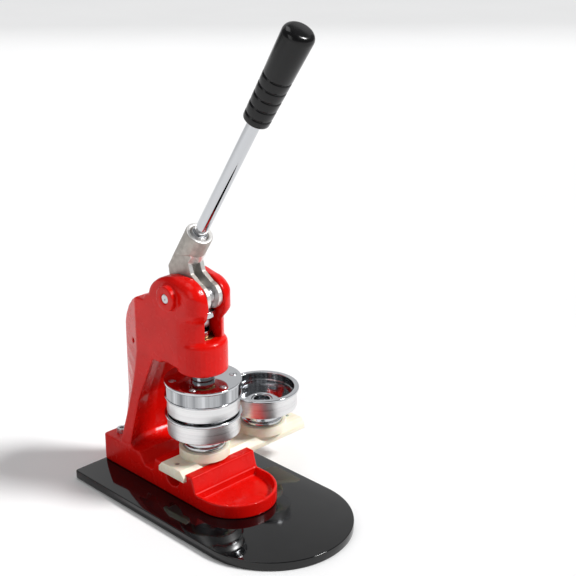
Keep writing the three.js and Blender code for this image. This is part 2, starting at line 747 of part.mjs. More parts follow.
function makeFork() {
  const wide = cheekOuterX;
  const far = socketRadius + 5;
  const neck = outline([
    [forkHubRadius * 0.45, 1.5 - forkHubRadius], [socketOffset + 4.2, 3], [socketOffset + neckRear, 10],
    [socketOffset + neckRear, socketFoot + 6], [socketOffset - neckFront, socketFoot + 8],
    [socketOffset - neckFront, socketFoot], [1, socketFoot - 7],
    [lobe[0] + 6, lobe[1] + forkLobeRadius - 1.4], lobe, [0, 0],
  ]);
  const plates = joined(
    across(neck, -wide, wide),
    across(tangentStrip([0, 0], forkHubRadius, lobe, forkLobeRadius), -wide, wide),
    axle(forkHubRadius, -wide, wide, 0, 0, facets),
    axle(forkLobeRadius, -wide, wide, ...lobe, facets),
  );
  const socket = socketTurned([
    [0, socketFoot - 14], [socketRadius, socketFoot - 14], [socketRadius, socketMouth - 0.8],
    [socketRadius - 0.8, socketMouth], [0, socketMouth],
  ]);
  // The socket's round flanks stop at a step that lies level when the handle rests.
  const stepSide = outline([
    [socketOffset - 40, -26], [socketOffset + 60, -26], [socketOffset + 60, -10],
    [socketOffset - 8.5, socketFoot + stepRise], [socketOffset - 40, socketFoot + 40],
  ]);
  const underSocket = outline([
    [-60, -60], [60, -60], [60, socketFoot - 22], [socketOffset + 8, socketFoot - 14],
    [socketOffset - 6, socketFoot], [-60, socketFoot],
  ]);
  const socketBody = cut(
    socket,
    across(stepSide, wide, far),
    across(stepSide, -far, -wide),
    across(underSocket, -far, far),
  );
  const slotBox = block(-cheekInnerX, cheekInnerX, -60, socketOffset - 9.5, -40, socketFoot);
  const hubWeb = axle(forkHubRadius * 0.68, -cheekInnerX - 1, cheekInnerX + 1, 0, 0);
  const bore = sleeveRadius + slip;
  const screwZ = socketMouth - setScrewDrop;
  const sideways = (shape) => shape.rotate([90, 0, setScrewTurn]).translate([0, socketOffset, screwZ]);
  const fork = cut(
    joined(plates, socketBody),
    cut(slotBox, hubWeb),
    axle(pivotPinRadius + slip, -wide - 1, wide + 1, 0, 0),
    axle(crankPinRadius + slip, -wide - 1, wide + 1, ...lobe),
    socketTurned([
      [0, sleeveFoot - seat], [bore, sleeveFoot - seat], [bore, socketMouth - mouthRelief],
      [bore + mouthRelief, socketMouth + 0.1], [0, socketMouth + 0.1],
    ]),
    sideways(disc(setScrewRadius + slip, 0, socketRadius + 4, holeFacets)),
  );
  piece('handle_fork', fork, castAluminium, handle);
  const pinReach = wide - seat;
  piece('crank_pin', axle(crankPinRadius, -pinReach, pinReach, ...lobe), brushedSteel, handle);
  const screwFace = socketRadius - 0.6;
  const screw = cut(
    disc(setScrewRadius, sleeveRadius + 2 * slip, screwFace, holeFacets),
    disc(setScrewRadius / 2, screwFace - 1.8, screwFace + 1, 6),
  );
  piece('fork_set_screw', sideways(screw), brushedSteel, handle);
}

function makeRodAndGrip() {
  const bore = rodRadius + slip;
  const sleeve = [
    [bore, sleeveFoot], [sleeveRadius, sleeveFoot], [sleeveRadius, socketMouth - 2],
    [sleeveRadius - 1.1, socketMouth - 0.6], [sleeveRadius - 1.1, socketMouth + 1], [bore, socketMouth + 1],
  ];
  piece('rod_sleeve', socketTurned(sleeve), brushedSteel, handle);
  const rodTop = gripZ + gripLength - 16;
  const rod = [
    [0, sleeveFoot], [rodRadius - 0.6, sleeveFoot], [rodRadius, sleeveFoot + 0.6],
    [rodRadius, rodTop], [0, rodTop],
  ];
  piece('handle_rod', socketTurned(rod), chrome, handle);

  const radiusAt = (along) => gripLowRadius + (gripTopRadius - gripLowRadius) * (along / gripLength);
  const outside = [[radiusAt(0) - 1.2, 0], [radiusAt(0), 1.2]];
  for (let i = 0; i < gripGrooveCount; i += 1) {
    const at = gripGrooveStart + i * gripGroovePitch;
    const full = radiusAt(at);
    outside.push([full, at - 1], [full - gripGrooveDepth, at - 0.4], [full - gripGrooveDepth, at + 0.4]);
    outside.push([full, at + 1.2]);
  }
  outside.push([gripTopRadius, gripLength - 7]);
  for (const angle of [30, 55, 75]) {
    const turn = THREE.MathUtils.degToRad(angle);
    outside.push([gripTopRadius - 6 * (1 - Math.cos(turn)), gripLength - 7 + 6 * Math.sin(turn)]);
  }
  outside.push([gripTopRadius - 8, gripLength - 0.6], [0, gripLength]);
  const profile = [
    [0, rodTop + seat], [bore, rodTop + seat], [bore, gripZ],
    ...outside.map(([r, along]) => [r, gripZ + along]),
  ];
  piece('handle_grip', socketTurned(profile, slimFacets), blackGrip, handle);
}

function makePivotPin() {
  const reach = headWidth / 2 + bossRise - 0.6;
  const pin = cut(
    axle(pivotPinRadius, -reach, reach, 0, 0),
    axle(1.2, -reach - 1, -reach + 1.2, 0, 0, holeFacets),
    axle(1.2, reach - 1.2, reach + 1, 0, 0, holeFacets),
  );
  piece('pivot_pin', pin, brushedSteel).position.set(0, pivotY, pivotZ);
}

// ---------- Upper die ----------
const ringBore = cupRadius - 0.25 - ringWall;
const ringOuter = cupRadius - 0.25;
const shellBore = ringOuter + slip + 0.05;
const shellOuter = shellBore + shellWall;
const plateRadius = shellOuter + plateOverhang;
const ringFlangeZ = ringZ + ringFlangeRise;
const ringFlangeTopZ = ringFlangeZ + ringFlangeThickness;
const webZ = shellTopZ - shellWeb;
const punchZ = ringZ + punchRecess;
const screwHeadZ = plateTopZ - dieScrewHeadHeight + seat;
const dieScrewHoleRadius = ringBoltRadius + slip;

function dieScrewPlace(index) {
  const angle = THREE.MathUtils.degToRad(30 + (360 / dieScrewCount) * index);
  return [dieScrewCircle * Math.cos(angle), dieScrewCircle * Math.sin(angle)];
}

function makeUpperDie() {
  const screws = Array.from({ length: dieScrewCount }, (_, i) => dieScrewPlace(i));
  const ringBolts = screws.filter((_, i) => i % 2 === 0);
  const holeThrough = (top) => ([x, y]) => disc(dieScrewHoleRadius, ringFlangeZ - 1, top, holeFacets, x, y);
  const holes = screws.map(holeThrough(plateTopZ + 1));
  const flangeHoles = ringBolts.map(holeThrough(webZ));
  const sinks = screws.map(([x, y]) => (
    disc(dieScrewHeadRadius + slip, screwHeadZ - seat, plateTopZ + 1, holeFacets, x, y)
  ));

  const plate = cut(turned([
    [ramStudRadius + slip, plateZ], [plateRadius - 0.7, plateZ], [plateRadius, plateZ + 0.7],
    [plateRadius, plateTopZ - 0.7], [plateRadius - 0.7, plateTopZ], [ramStudRadius + slip, plateTopZ],
  ], wideFacets), ...holes, ...sinks);
  piece('upper_die_plate', plate, chrome);

  const shell = cut(turned([
    [shellBore, shellZ], [shellOuter + shellLip, shellZ], [shellOuter + shellLip, shellZ + 1.4],
    [shellOuter, shellZ + 1.9], [shellOuter, shellTopZ], [ramStudRadius + slip, shellTopZ],
    [ramStudRadius + slip, webZ], [shellBore, webZ],
  ], wideFacets), ...holes);
  piece('upper_die_shell', shell, chrome);

  const ringTop = shellZ + ringHidden;
  const flangeBore = punchHubRadius + 4;
  const ring = cut(turned([
    [ringBore, ringZ], [ringOuter - 0.6, ringZ], [ringOuter, ringZ + 0.8], [ringOuter, ringTop],
    [ringBore, ringTop], [ringBore, ringFlangeTopZ], [flangeBore, ringFlangeTopZ],
    [flangeBore, ringFlangeZ], [ringBore, ringFlangeZ],
  ], wideFacets), ...flangeHoles);
  piece('crimp_ring', ring, brushedSteel);

  const wire = 0.7;
  const springRadius = flangeBore + 2.6;
  const spring = coil(springRadius, wire, ringFlangeTopZ + seat, webZ - seat, 4, 16);
  piece('crimp_ring_spring', spring, springSteel);

  const boltSeat = punchZ + 6;
  const boltHole = punchBoltHeadRadius + 2 * slip;
  const punch = turned([
    [boltHole, punchZ], [ringBore - 1.2, punchZ], [ringBore - 0.6, punchZ + 0.6],
    [ringBore - 0.6, punchZ + punchThickness], [punchHubRadius, punchZ + punchThickness],
    [punchHubRadius, webZ - seat], [ramStudRadius + slip, webZ - seat],
    [ramStudRadius + slip, boltSeat], [boltHole, boltSeat],
  ], wideFacets);
  piece('upper_punch', punch, chrome);
  const headHeight = 4.6;
  const boltLength = punchBoltTopZ - boltSeat;
  const bolt = capScrew(punchBoltRadius, boltLength, punchBoltHeadRadius, headHeight, slimFacets);
  const turnedOver = piece('punch_bolt', bolt, brushedSteel);
  turnedOver.rotation.x = Math.PI;
  turnedOver.position.z = boltSeat - seat;

  screws.forEach(([x, y], i) => {
    const isRingBolt = i % 2 === 0;
    const name = isRingBolt ? `ring_bolt_${i / 2 + 1}` : `plate_screw_${(i + 1) / 2}`;
    const radius = isRingBolt ? ringBoltRadius : plateScrewRadius;
    const length = screwHeadZ - (isRingBolt ? ringFlangeZ : webZ) - seat;
    const screw = capScrew(radius, length, dieScrewHeadRadius, dieScrewHeadHeight);
    piece(name, screw, brushedSteel).position.set(x, y, screwHeadZ);
  });
}

// ---------- Rail with its two lower dies ----------
const dieBoltHeadHeight = 4;
const dieBoltSeatZ = railZ + dieBoltHeadHeight + 3 * seat;
const spigotRadius = dieFootRadius * 0.54;
const spigotDepth = 7;
const boltTopZ = cupZ - 6;

function makeRail() {
  const left = -railOverhang;
  const right = dieSpacing + railOverhang;
  const ends = [['left', left + endScrewInset], ['right', right - endScrewInset]];
  let rail = across(dovetail(0, railZ), left, right);
  const bossFoot = railTopZ - 2;
  for (const x of [0, dieSpacing]) {
    const boss = turned([
      [0, bossFoot], [railBossRadius, bossFoot], [railBossRadius, bossTopZ - 0.6],
      [railBossRadius - 0.6, bossTopZ], [0, bossTopZ],
    ], wideFacets).translate([x, 0, 0]);
    const high = block(x - railBossRadius - 1, x + railBossRadius + 1, -40, 40, railTopZ, bossTopZ + 1);
    rail = joined(rail, boss.intersect(high));
    rail = cut(
      rail,
      disc(dieFootRadius + slip, bossTopZ - footSocketDepth, bossTopZ + 1, wideFacets, x),
      disc(spigotRadius + slip, dieFootZ - spigotDepth - seat, bossTopZ, facets, x),
      disc(dieBoltRadius + slip, railZ - 1, bossTopZ, holeFacets, x),
      disc(dieBoltHeadRadius + 2 * slip, railZ - 1, dieBoltSeatZ, slimFacets, x),
    );
  }
  const slotHalfWidth = stopScrewRadius + slip;
  const slotPlan = outline([
    ...arc(0, stopScrewOffset, slotHalfWidth, Math.PI / 2, Math.PI * 1.5, 6),
    ...arc(dieSpacing, stopScrewOffset, slotHalfWidth, -Math.PI / 2, Math.PI / 2, 6),
  ]);
  rail = cut(
    rail,
    raised(slotPlan, railZ - 1, railZ + stopSlotDepth),
    ...ends.map(([, x]) => (
      disc(endScrewRadius + slip, railTopZ - endScrewDepth, railTopZ + 1, holeFacets, x)
    )),
  );
  piece('slide_rail', rail, creamNylon);
  for (const [name, x] of ends) {
    const screw = cut(
      disc(endScrewRadius, railTopZ - endScrewDepth + seat, railTopZ - 0.6, holeFacets),
      disc(endScrewRadius / 2, railTopZ - 2.4, railTopZ, 6),
    );
    piece(`rail_end_screw_${name}`, screw, brushedSteel).position.set(x, 0, 0);
  }
  const stopFoot = baseZ + stopScrewFoot + seat;
  const stopTop = railZ + stopSlotDepth - 0.6;
  const stopScrew = disc(stopScrewRadius, stopFoot, stopTop, holeFacets, 0, stopScrewOffset);
  piece('rail_stop_screw', stopScrew, brushedSteel);
}

function makeLowerDie(index, x) {
  const tubeRadius = centreHoleRadius + centreTubeWall;
  const platformTopZ = cupZ + cupFloor + waveSpringHeight + 2 * seat + platformThickness;
  const floorTopZ = cupZ + cupFloor;
  const [neck, waist, shoulder] = footSteps.map(([share, depth]) => [dieFootRadius * share, cupZ - depth]);
  const foot = turned([
    [0, boltTopZ + 3], [centreHoleRadius, boltTopZ + 3], [centreHoleRadius, platformTopZ - seat],
    [tubeRadius, platformTopZ - seat], [tubeRadius, cupZ - seat], [neck[0], cupZ - seat],
    neck, [waist[0], neck[1]], waist, [shoulder[0], waist[1] - 0.4],
    shoulder, [dieFootRadius, shoulder[1] - 0.5],
    [dieFootRadius, dieFootZ], [spigotRadius, dieFootZ], [spigotRadius, dieFootZ - spigotDepth],
    [0, dieFootZ - spigotDepth],
  ]);
  const boltHole = disc(dieBoltRadius + slip, dieFootZ - spigotDepth - 1, boltTopZ + seat, holeFacets);
  const footBody = cut(foot, boltHole);
  piece(`die_foot_${index}`, footBody, chrome).position.x = x;

  const ledgeZ = cupTopZ - 8;
  const lipZ = cupTopZ - rimLipHeight;
  const cup = turned([
    [tubeRadius + slip, cupZ], [cupRadius - 1, cupZ], [cupRadius, cupZ + 1], [cupRadius, lipZ - 0.8],
    [rimRadius, lipZ], [rimRadius, cupTopZ - 0.6], [rimRadius - 0.6, cupTopZ], [cupBore + 1.6, cupTopZ],
    [cupBore + 1.2, ledgeZ], [cupBore, ledgeZ], [cupBore, floorTopZ], [tubeRadius + slip, floorTopZ],
  ], wideFacets);
  piece(`die_cup_${index}`, cup, chrome).position.x = x;

  const platformZ = platformTopZ - platformThickness;
  const rise = 0.8;
  const platform = turned([
    [tubeRadius + slip, platformZ], [cupBore - slip, platformZ], [cupBore - slip, platformTopZ - rise],
    [cupBore - 5, platformTopZ - rise], [cupBore - 5.6, platformTopZ], [tubeRadius + slip, platformTopZ],
  ], wideFacets);
  piece(`die_platform_${index}`, platform, brushedSteel).position.x = x;

  const [inner, outer, half] = [waveSpringInner, waveSpringOuter, waveSpringGauge / 2];
  const section = [[inner, -half], [outer, -half], [outer, half], [inner, half], [inner, -half]];
  const washer = new THREE.LatheGeometry(section.map(([r, z]) => new THREE.Vector2(r, z)), 36);
  washer.rotateX(Math.PI / 2);
  const place = washer.attributes.position;
  const middle = floorTopZ + seat + waveSpringHeight / 2;
  for (let i = 0; i < place.count; i += 1) {
    const angle = Math.atan2(place.getY(i), place.getX(i));
    const swell = (waveSpringHeight / 2 - half - 0.05) * Math.sin(4 * angle);
    place.setZ(i, place.getZ(i) + middle + swell);
  }
  piece(`wave_spring_${index}`, solid(washer), springSteel).position.x = x;

  const boltLength = boltTopZ - dieBoltSeatZ - seat;
  const bolt = capScrew(dieBoltRadius, boltLength, dieBoltHeadRadius, dieBoltHeadHeight, slimFacets);
  const boltMesh = piece(`die_bolt_${index}`, bolt, brushedSteel);
  boltMesh.rotation.x = Math.PI;
  boltMesh.position.set(x, 0, dieBoltSeatZ - seat);
}

makeBoard();
makeBaseFasteners();
makeFrame();
makeRamGuide();
makeRam();
makeLink();
makeFork();
makeRodAndGrip();
makePivotPin();
makeUpperDie();
makeRail();
makeLowerDie(1, 0);
makeLowerDie(2, dieSpacing);

export default badgePress;
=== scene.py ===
# %% [markdown]
# # A button badge maker
#
# The real press is a red enamelled casting on a black acrylic board. A lever swings a crank, the
# crank pushes a ram down, and the ram closes a sprung upper die on one of two lower dies that
# slide on a nylon rail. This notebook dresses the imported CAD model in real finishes.
# Every piece is made where the CAD model says it is, so nothing is fitted by eye.

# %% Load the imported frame
import json
import math

import bmesh
import bpy
from mathutils import Matrix, Vector


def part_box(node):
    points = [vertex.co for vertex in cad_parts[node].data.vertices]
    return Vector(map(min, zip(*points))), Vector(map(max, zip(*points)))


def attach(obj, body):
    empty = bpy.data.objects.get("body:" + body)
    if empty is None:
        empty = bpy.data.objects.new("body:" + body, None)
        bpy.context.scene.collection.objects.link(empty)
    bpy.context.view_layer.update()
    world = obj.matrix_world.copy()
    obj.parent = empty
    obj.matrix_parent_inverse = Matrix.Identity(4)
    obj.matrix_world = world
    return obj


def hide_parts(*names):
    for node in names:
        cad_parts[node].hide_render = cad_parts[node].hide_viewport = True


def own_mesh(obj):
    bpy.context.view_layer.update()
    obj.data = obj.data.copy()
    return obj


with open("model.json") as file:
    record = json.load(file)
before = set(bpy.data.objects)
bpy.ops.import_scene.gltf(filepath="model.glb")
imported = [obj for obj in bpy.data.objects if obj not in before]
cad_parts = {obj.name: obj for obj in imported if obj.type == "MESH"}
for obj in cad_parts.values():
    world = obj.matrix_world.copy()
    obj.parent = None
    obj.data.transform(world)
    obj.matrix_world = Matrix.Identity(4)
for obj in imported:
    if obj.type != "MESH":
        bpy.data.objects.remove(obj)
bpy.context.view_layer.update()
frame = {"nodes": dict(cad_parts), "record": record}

# %% [markdown]
# ## Millimetres, and where things are
#
# Blender works in metres and a press is drawn in millimetres, so one constant converts.
# Each size below comes from the box of a CAD node, so a changed press moves its looks with it.

# %% Sizes from the frame
MM = 0.001


def extent(node):
    low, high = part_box(node)
    return low / MM, high / MM


board_low, board_high = extent("base_board")
cup_low, cup_high = extent("die_cup_1")
idle_low, idle_high = extent("die_cup_2")
ring_low, ring_high = extent("crimp_ring")
shell_low, shell_high = extent("upper_die_shell")
plate_low, plate_high = extent("upper_die_plate")
rail_low, rail_high = extent("slide_rail")
nut_low, nut_high = extent("ram_nut")
idle_x = (idle_low.x + idle_high.x) / 2
rim_radius = (cup_high.x - cup_low.x) / 2
print("idle die stands", round(idle_x, 1), "mm right of the ram axis")

# %% [markdown]
# ## Colours and nodes
#
# Paint charts give colours in sRGB, and a shader wants linear light, so one function converts.
# One more function adds a node, sets it up and joins it, for materials and for geometry alike.

# %% Colour and node helpers
def linear(colour):
    channels = [int(colour[i:i + 2], 16) / 255 for i in (1, 3, 5)]
    return [c / 12.92 if c <= 0.04045 else ((c + 0.055) / 1.055) ** 2.4 for c in channels] + [1]


def add_node(tree, kind, inputs=(), **settings):
    node = tree.nodes.new(kind)
    for name, value in settings.items():
        setattr(node, name, value)
    for socket, value in dict(inputs).items():
        if isinstance(value, bpy.types.NodeSocket):
            tree.links.new(value, node.inputs[socket])
        else:
            node.inputs[socket].default_value = value
    return node


# %% [markdown]
# ## What all finishes share
#
# A finish is one Principled shader. Its fixed numbers sit on the shader's own sockets, and only
# what varies over the surface is linked: the colour, the roughness and the bump.
# Patterns are sized in millimetres. Turned pieces carry a UV map, round the axis and along the
# profile, so that tool marks run round them wherever they stand.

# %% Finish helpers
def new_finish(name, colour, **sockets):
    material = bpy.data.materials.new(name)
    material.use_nodes = True
    shader = material.node_tree.nodes["Principled BSDF"]
    shader.inputs["Base Color"].default_value = linear(colour)
    for socket, value in sockets.items():
        shader.inputs[socket.replace("_", " ")].default_value = value
    return material


def pattern(material, size, detail=2.0, source="Object"):
    """Noise whose grains measure size, in millimetres along each axis of its coordinates."""
    tree = material.node_tree
    if source == "Object":
        place = add_node(tree, "ShaderNodeTexCoord").outputs["Object"]
    else:
        place = add_node(tree, "ShaderNodeUVMap", uv_map=source).outputs["UV"]
    scale = [1 / (MM * step) for step in size]
    mapping = add_node(tree, "ShaderNodeMapping", {"Vector": place, "Scale": scale})
    noise = {"Vector": mapping.outputs["Vector"], "Scale": 1.0, "Detail": detail}
    return add_node(tree, "ShaderNodeTexNoise", noise).outputs[0]


def vary(material, socket, factor, low, high):
    """Links a socket to a pattern: from low to high, which are numbers or colours."""
    tree = material.node_tree
    shader = tree.nodes["Principled BSDF"]
    if isinstance(low, str):
        ramp = add_node(tree, "ShaderNodeValToRGB", {"Fac": factor})
        for stop, position, colour in zip(ramp.color_ramp.elements, (0.3, 0.7), (low, high)):
            stop.position = position
            stop.color = linear(colour)
        tree.links.new(ramp.outputs["Color"], shader.inputs[socket])
        return
    span = {"Value": factor, "From Min": 0.3, "From Max": 0.7, "To Min": low, "To Max": high}
    mapped = add_node(tree, "ShaderNodeMapRange", span)
    tree.links.new(mapped.outputs["Result"], shader.inputs[socket])


def relief(material, factor, depth, strength=1.0):
    """Bump as deep as depth, in millimetres."""
    tree = material.node_tree
    heights = {"Height": factor, "Distance": depth * MM, "Strength": strength}
    bump = add_node(tree, "ShaderNodeBump", heights)
    tree.links.new(bump.outputs["Normal"], tree.nodes["Principled BSDF"].inputs["Normal"])


# %% [markdown]
# ## Red enamel on cast iron
#
# The frame is cast, fettled and sprayed with glossy enamel. Spray leaves a faint orange peel,
# about two millimetres from crest to crest.

# %% Enamel
red_enamel = new_finish(
    "sprayed_red_enamel", "#d80d06", Roughness=0.24, Coat_Weight=0.12, Coat_Roughness=0.05,
)
red_enamel.node_tree.nodes["Principled BSDF"].inputs["Specular IOR Level"].default_value = 0.15
vary(red_enamel, "Base Color", pattern(red_enamel, (30, 30, 30)), "#d40b04", "#e20e06")
vary(red_enamel, "Roughness", pattern(red_enamel, (9, 9, 9)), 0.2, 0.3)
relief(red_enamel, pattern(red_enamel, (2.4, 2.4, 2.4)), 0.02, 0.35)

# %% [markdown]
# ## Cast acrylic
#
# The board is cut from black cast acrylic with flame-polished edges. It is almost a mirror at a
# low angle. Handling leaves a thin haze that only changes its roughness.

# %% Acrylic
black_acrylic = new_finish("polished_black_acrylic", "#060607", Roughness=0.05, IOR=1.49)
vary(black_acrylic, "Roughness", pattern(black_acrylic, (35, 35, 35), 4.0), 0.02, 0.09)
vary(black_acrylic, "Base Color", pattern(black_acrylic, (18, 18, 18)), "#050506", "#0a0a0b")

# %% [markdown]
# ## Chrome, satin and milled steel
#
# Three finishes of one metal. The die shells are polished and chrome plated. The ring and the
# cups are turned and left satin, with tool marks a quarter of a millimetre apart, drawn here at
# half a millimetre so that they show. Pins and screws are plain bright steel.

# %% Chrome and steel
chrome = new_finish("turned_chrome_plate", "#c9cbce", Metallic=1.0, Roughness=0.06)
vary(chrome, "Roughness", pattern(chrome, (900, 1.2, 1), 3.0, "turning"), 0.035, 0.09)
relief(chrome, pattern(chrome, (1500, 1.6, 1), 2.0, "turning"), 0.004, 0.3)

# The shell and the cups' insides mirror a streaky room. A painted reflection of upright streaks, about
# twenty five round a die, dark to pale, stands for that here: it is not what the real metal's surface
# has.
painted_reflection_chrome = new_finish("axially_polished_chrome", "#b9bbbe", Metallic=1.0, Roughness=0.1)
painted_reflection_streaks = pattern(painted_reflection_chrome, (45, 900, 1), 3.0, "turning")
vary(painted_reflection_chrome, "Base Color", painted_reflection_streaks, "#5d5f62", "#dcdee1")
vary(painted_reflection_chrome, "Roughness", pattern(painted_reflection_chrome, (12, 600, 1), 2.0, "turning"), 0.05, 0.16)

satin_steel = new_finish(
    "satin_turned_steel", "#e6e6e6", Metallic=1.0, Roughness=0.32, Anisotropic=0.55,
)
vary(satin_steel, "Roughness", pattern(satin_steel, (1200, 0.5, 1), 3.0, "turning"), 0.26, 0.4)
tool_marks = pattern(satin_steel, (700, 0.9, 1), 2.0, "turning")
vary(satin_steel, "Base Color", tool_marks, "#dcdcdd", "#efefef")
relief(satin_steel, pattern(satin_steel, (1200, 0.5, 1), 1.0, "turning"), 0.006, 0.5)

bright_steel = new_finish("bright_drawn_steel", "#cdced1", Metallic=1.0, Roughness=0.3)
vary(bright_steel, "Roughness", pattern(bright_steel, (1.5, 1.5, 0.5), 3.0), 0.24, 0.4)
relief(bright_steel, pattern(bright_steel, (0.8, 0.8, 0.8)), 0.004, 0.4)

spring_steel = new_finish("drawn_spring_steel", "#8f9196", Metallic=1.0, Roughness=0.3)
vary(spring_steel, "Base Color", pattern(spring_steel, (3, 3, 3)), "#7e8085", "#a3a5aa")

bronze = new_finish("sintered_bronze", "#b08150", Metallic=1.0, Roughness=0.42)
vary(bronze, "Base Color", pattern(bronze, (0.8, 0.8, 0.8)), "#9a6c3f", "#c39463")
relief(bronze, pattern(bronze, (0.5, 0.5, 0.5)), 0.01, 0.5)

# %% [markdown]
# ## Blasted aluminium
#
# The handle's fork is cast in aluminium and bead blasted to an even warm grey. The faces that
# meet other pieces are milled afterwards and shine, with cutter marks across them.

# %% Aluminium
blasted_aluminium = new_finish("blasted_cast_aluminium", "#aaa49d", Metallic=0.75, Roughness=0.5)
vary(blasted_aluminium, "Base Color", pattern(blasted_aluminium, (6, 6, 6), 4.0), "#a8a29b", "#c2bdb6")
relief(blasted_aluminium, pattern(blasted_aluminium, (0.7, 0.7, 0.7), 3.0), 0.02, 0.5)

milled_aluminium = new_finish("milled_aluminium", "#ebe9e6", Metallic=1.0, Roughness=0.38)
vary(milled_aluminium, "Roughness", pattern(milled_aluminium, (0.6, 5, 0.6), 2.0), 0.32, 0.48)
relief(milled_aluminium, pattern(milled_aluminium, (0.6, 5, 0.6), 2.0), 0.006, 0.5)

# %% [markdown]
# ## Nylon and PVC
#
# The rail is milled from cream cast nylon, so it looks a little waxy: light goes a short way in.
# The grip is moulded in black PVC, glossy with a soft ripple from the mould.

# %% Plastics
cream_nylon = new_finish(
    "milled_cream_nylon", "#f2ebd6", Roughness=0.42, IOR=1.53,
    Subsurface_Weight=0.25, Subsurface_Scale=0.003,
)
vary(cream_nylon, "Base Color", pattern(cream_nylon, (60, 4, 4), 3.0), "#efe6cd", "#f8f2e0")
vary(cream_nylon, "Roughness", pattern(cream_nylon, (40, 1.2, 1.2)), 0.36, 0.5)
relief(cream_nylon, pattern(cream_nylon, (40, 0.9, 0.9)), 0.01, 0.4)

black_pvc = new_finish(
    "moulded_black_pvc", "#060607", Roughness=0.2, IOR=1.4, Coat_Weight=0.05, Coat_Roughness=0.1,
)
vary(black_pvc, "Roughness", pattern(black_pvc, (5, 5, 5), 3.0), 0.15, 0.26)
relief(black_pvc, pattern(black_pvc, (1.1, 1.1, 1.1), 2.0), 0.02, 0.35)
print("finishes:", len(bpy.data.materials))

# %% [markdown]
# ## Placing a piece
#
# A finished piece rides on a body and stands for its CAD nodes.
# Its object stays at the origin and its place is in its mesh.

# %% Attaching pieces
def settle(piece, body, slot, *nodes):
    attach(piece, body)
    if nodes:
        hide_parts(*nodes)
    print(piece.name, "rides on", body, "with", len(piece.data.polygons), "faces")
    return piece


def object_from(name, mesh, *finishes):
    for finish in finishes:
        mesh.materials.append(finish)
    piece = bpy.data.objects.new(name, mesh)
    bpy.context.scene.collection.objects.link(piece)
    return piece


def shade(mesh, limit=38):
    mesh.shade_smooth()
    mesh.set_sharp_from_angle(angle=math.radians(limit))


def applied(piece):
    """Turns a piece with modifiers into a plain mesh."""
    shown = piece.evaluated_get(bpy.context.evaluated_depsgraph_get())
    piece.data = bpy.data.meshes.new_from_object(shown)
    piece.modifiers.clear()
    return piece


# %% [markdown]
# ## Turned pieces
#
# Most of a press comes off a lathe: dies, ring, nut, ram, rod and grip. A profile is drawn as
# radius and height, every corner gets a small round as a turner would break it, and the profile
# is swept round the axis. The seam of the UV map faces the back.

# %% Turning
def rounded(profile, fillet, steps=3):
    on_axis = profile[0][0] == 0
    outline = []
    for i, corner in enumerate(profile):
        here = Vector(corner[:2])
        own = corner[2] if len(corner) > 2 else fillet
        if own == 0 or (on_axis and i in (0, len(profile) - 1)):
            outline.append(here)
            continue
        before = Vector(profile[i - 1][:2]) - here
        after = Vector(profile[(i + 1) % len(profile)][:2]) - here
        reach = min(own, 0.45 * before.length, 0.45 * after.length)
        start = here + before.normalized() * reach
        end = here + after.normalized() * reach
        for t in (k / steps for k in range(steps + 1)):
            outline.append(start * (1 - t) ** 2 + here * 2 * t * (1 - t) + end * t * t)
    return outline


def turned_mesh(name, profile, fillet=0.4, segments=128, choose=None):
    outline = rounded(profile, fillet)
    closed = profile[0][0] > 0
    doubled_area = sum(a.x * b.y - b.x * a.y for a, b in zip(outline, outline[1:] + outline[:1]))
    if doubled_area < 0:
        outline.reverse()
    vertices, rings = [], []
    for point in outline:
        around = 1 if point.x < 1e-6 else segments
        first = len(vertices)
        for k in range(around):
            angle = math.pi / 2 + math.tau * k / segments
            x, y = point.x * math.cos(angle), point.x * math.sin(angle)
            vertices.append((x * MM, y * MM, point.y * MM))
        rings.append([first + k % around for k in range(segments + 1)])
    faces, corners, indices = [], [], []
    travel = 0.0
    last = len(outline) if closed else len(outline) - 1
    for j in range(last):
        low, high = outline[j], outline[(j + 1) % len(outline)]
        step = (high - low).length * MM
        index = choose((low.x + high.x) / 2, (low.y + high.y) / 2) if choose else 0
        for k in range(segments):
            ring, above = rings[j], rings[(j + 1) % len(outline)]
            spots = [
                (ring[k], k, 0), (ring[k + 1], k + 1, 0),
                (above[k + 1], k + 1, step), (above[k], k, step),
            ]
            if ring[k] == ring[k + 1]:
                del spots[1]
            elif above[k] == above[k + 1]:
                del spots[3]
            faces.append([spot[0] for spot in spots])
            corners += [(spot[1] / segments, travel + spot[2]) for spot in spots]
            indices.append(index)
        travel += step
    mesh = bpy.data.meshes.new(name)
    mesh.from_pydata(vertices, [], faces)
    unwrapped = mesh.uv_layers.new(name="turning")
    for loop, place in zip(unwrapped.data, corners):
        loop.uv = place
    mesh.polygons.foreach_set("material_index", indices)
    shade(mesh)
    return mesh


def turned(name, profile, *finishes, place=None, **options):
    mesh = turned_mesh(name, profile, **options)
    if place:
        mesh.transform(place)
    return object_from(name, mesh, *finishes)


# %% [markdown]
# ## Cutting and drawing
#
# Boards and rails are drawn from an outline, with their edges broken by a bevel. Holes, slots
# and flats are cut with booleans, as a drill and a milling cutter would make them.

# %% Prisms and cutters
def prism(name, outline, axis, low, high, bevel, steps=2):
    shape = bmesh.new()
    spot = (lambda a, b, c: (c, a, b)) if axis == "X" else (lambda a, b, c: (a, b, c))
    ends = [[shape.verts.new(Vector(spot(a, b, c)) * MM) for a, b in outline] for c in (low, high)]
    shape.faces.new(reversed(ends[0]))
    shape.faces.new(ends[1])
    for i in range(len(outline)):
        k = (i + 1) % len(outline)
        shape.faces.new((ends[0][i], ends[0][k], ends[1][k], ends[1][i]))
    bmesh.ops.recalc_face_normals(shape, faces=shape.faces)
    sharp = [edge for edge in shape.edges if edge.calc_face_angle(0) > math.radians(25)]
    if bevel:
        bmesh.ops.bevel(
            shape, geom=sharp, offset=bevel * MM, segments=steps, profile=0.5, affect="EDGES",
        )
    mesh = bpy.data.meshes.new(name)
    shape.to_mesh(mesh)
    shape.free()
    shade(mesh)
    return object_from(name, mesh)


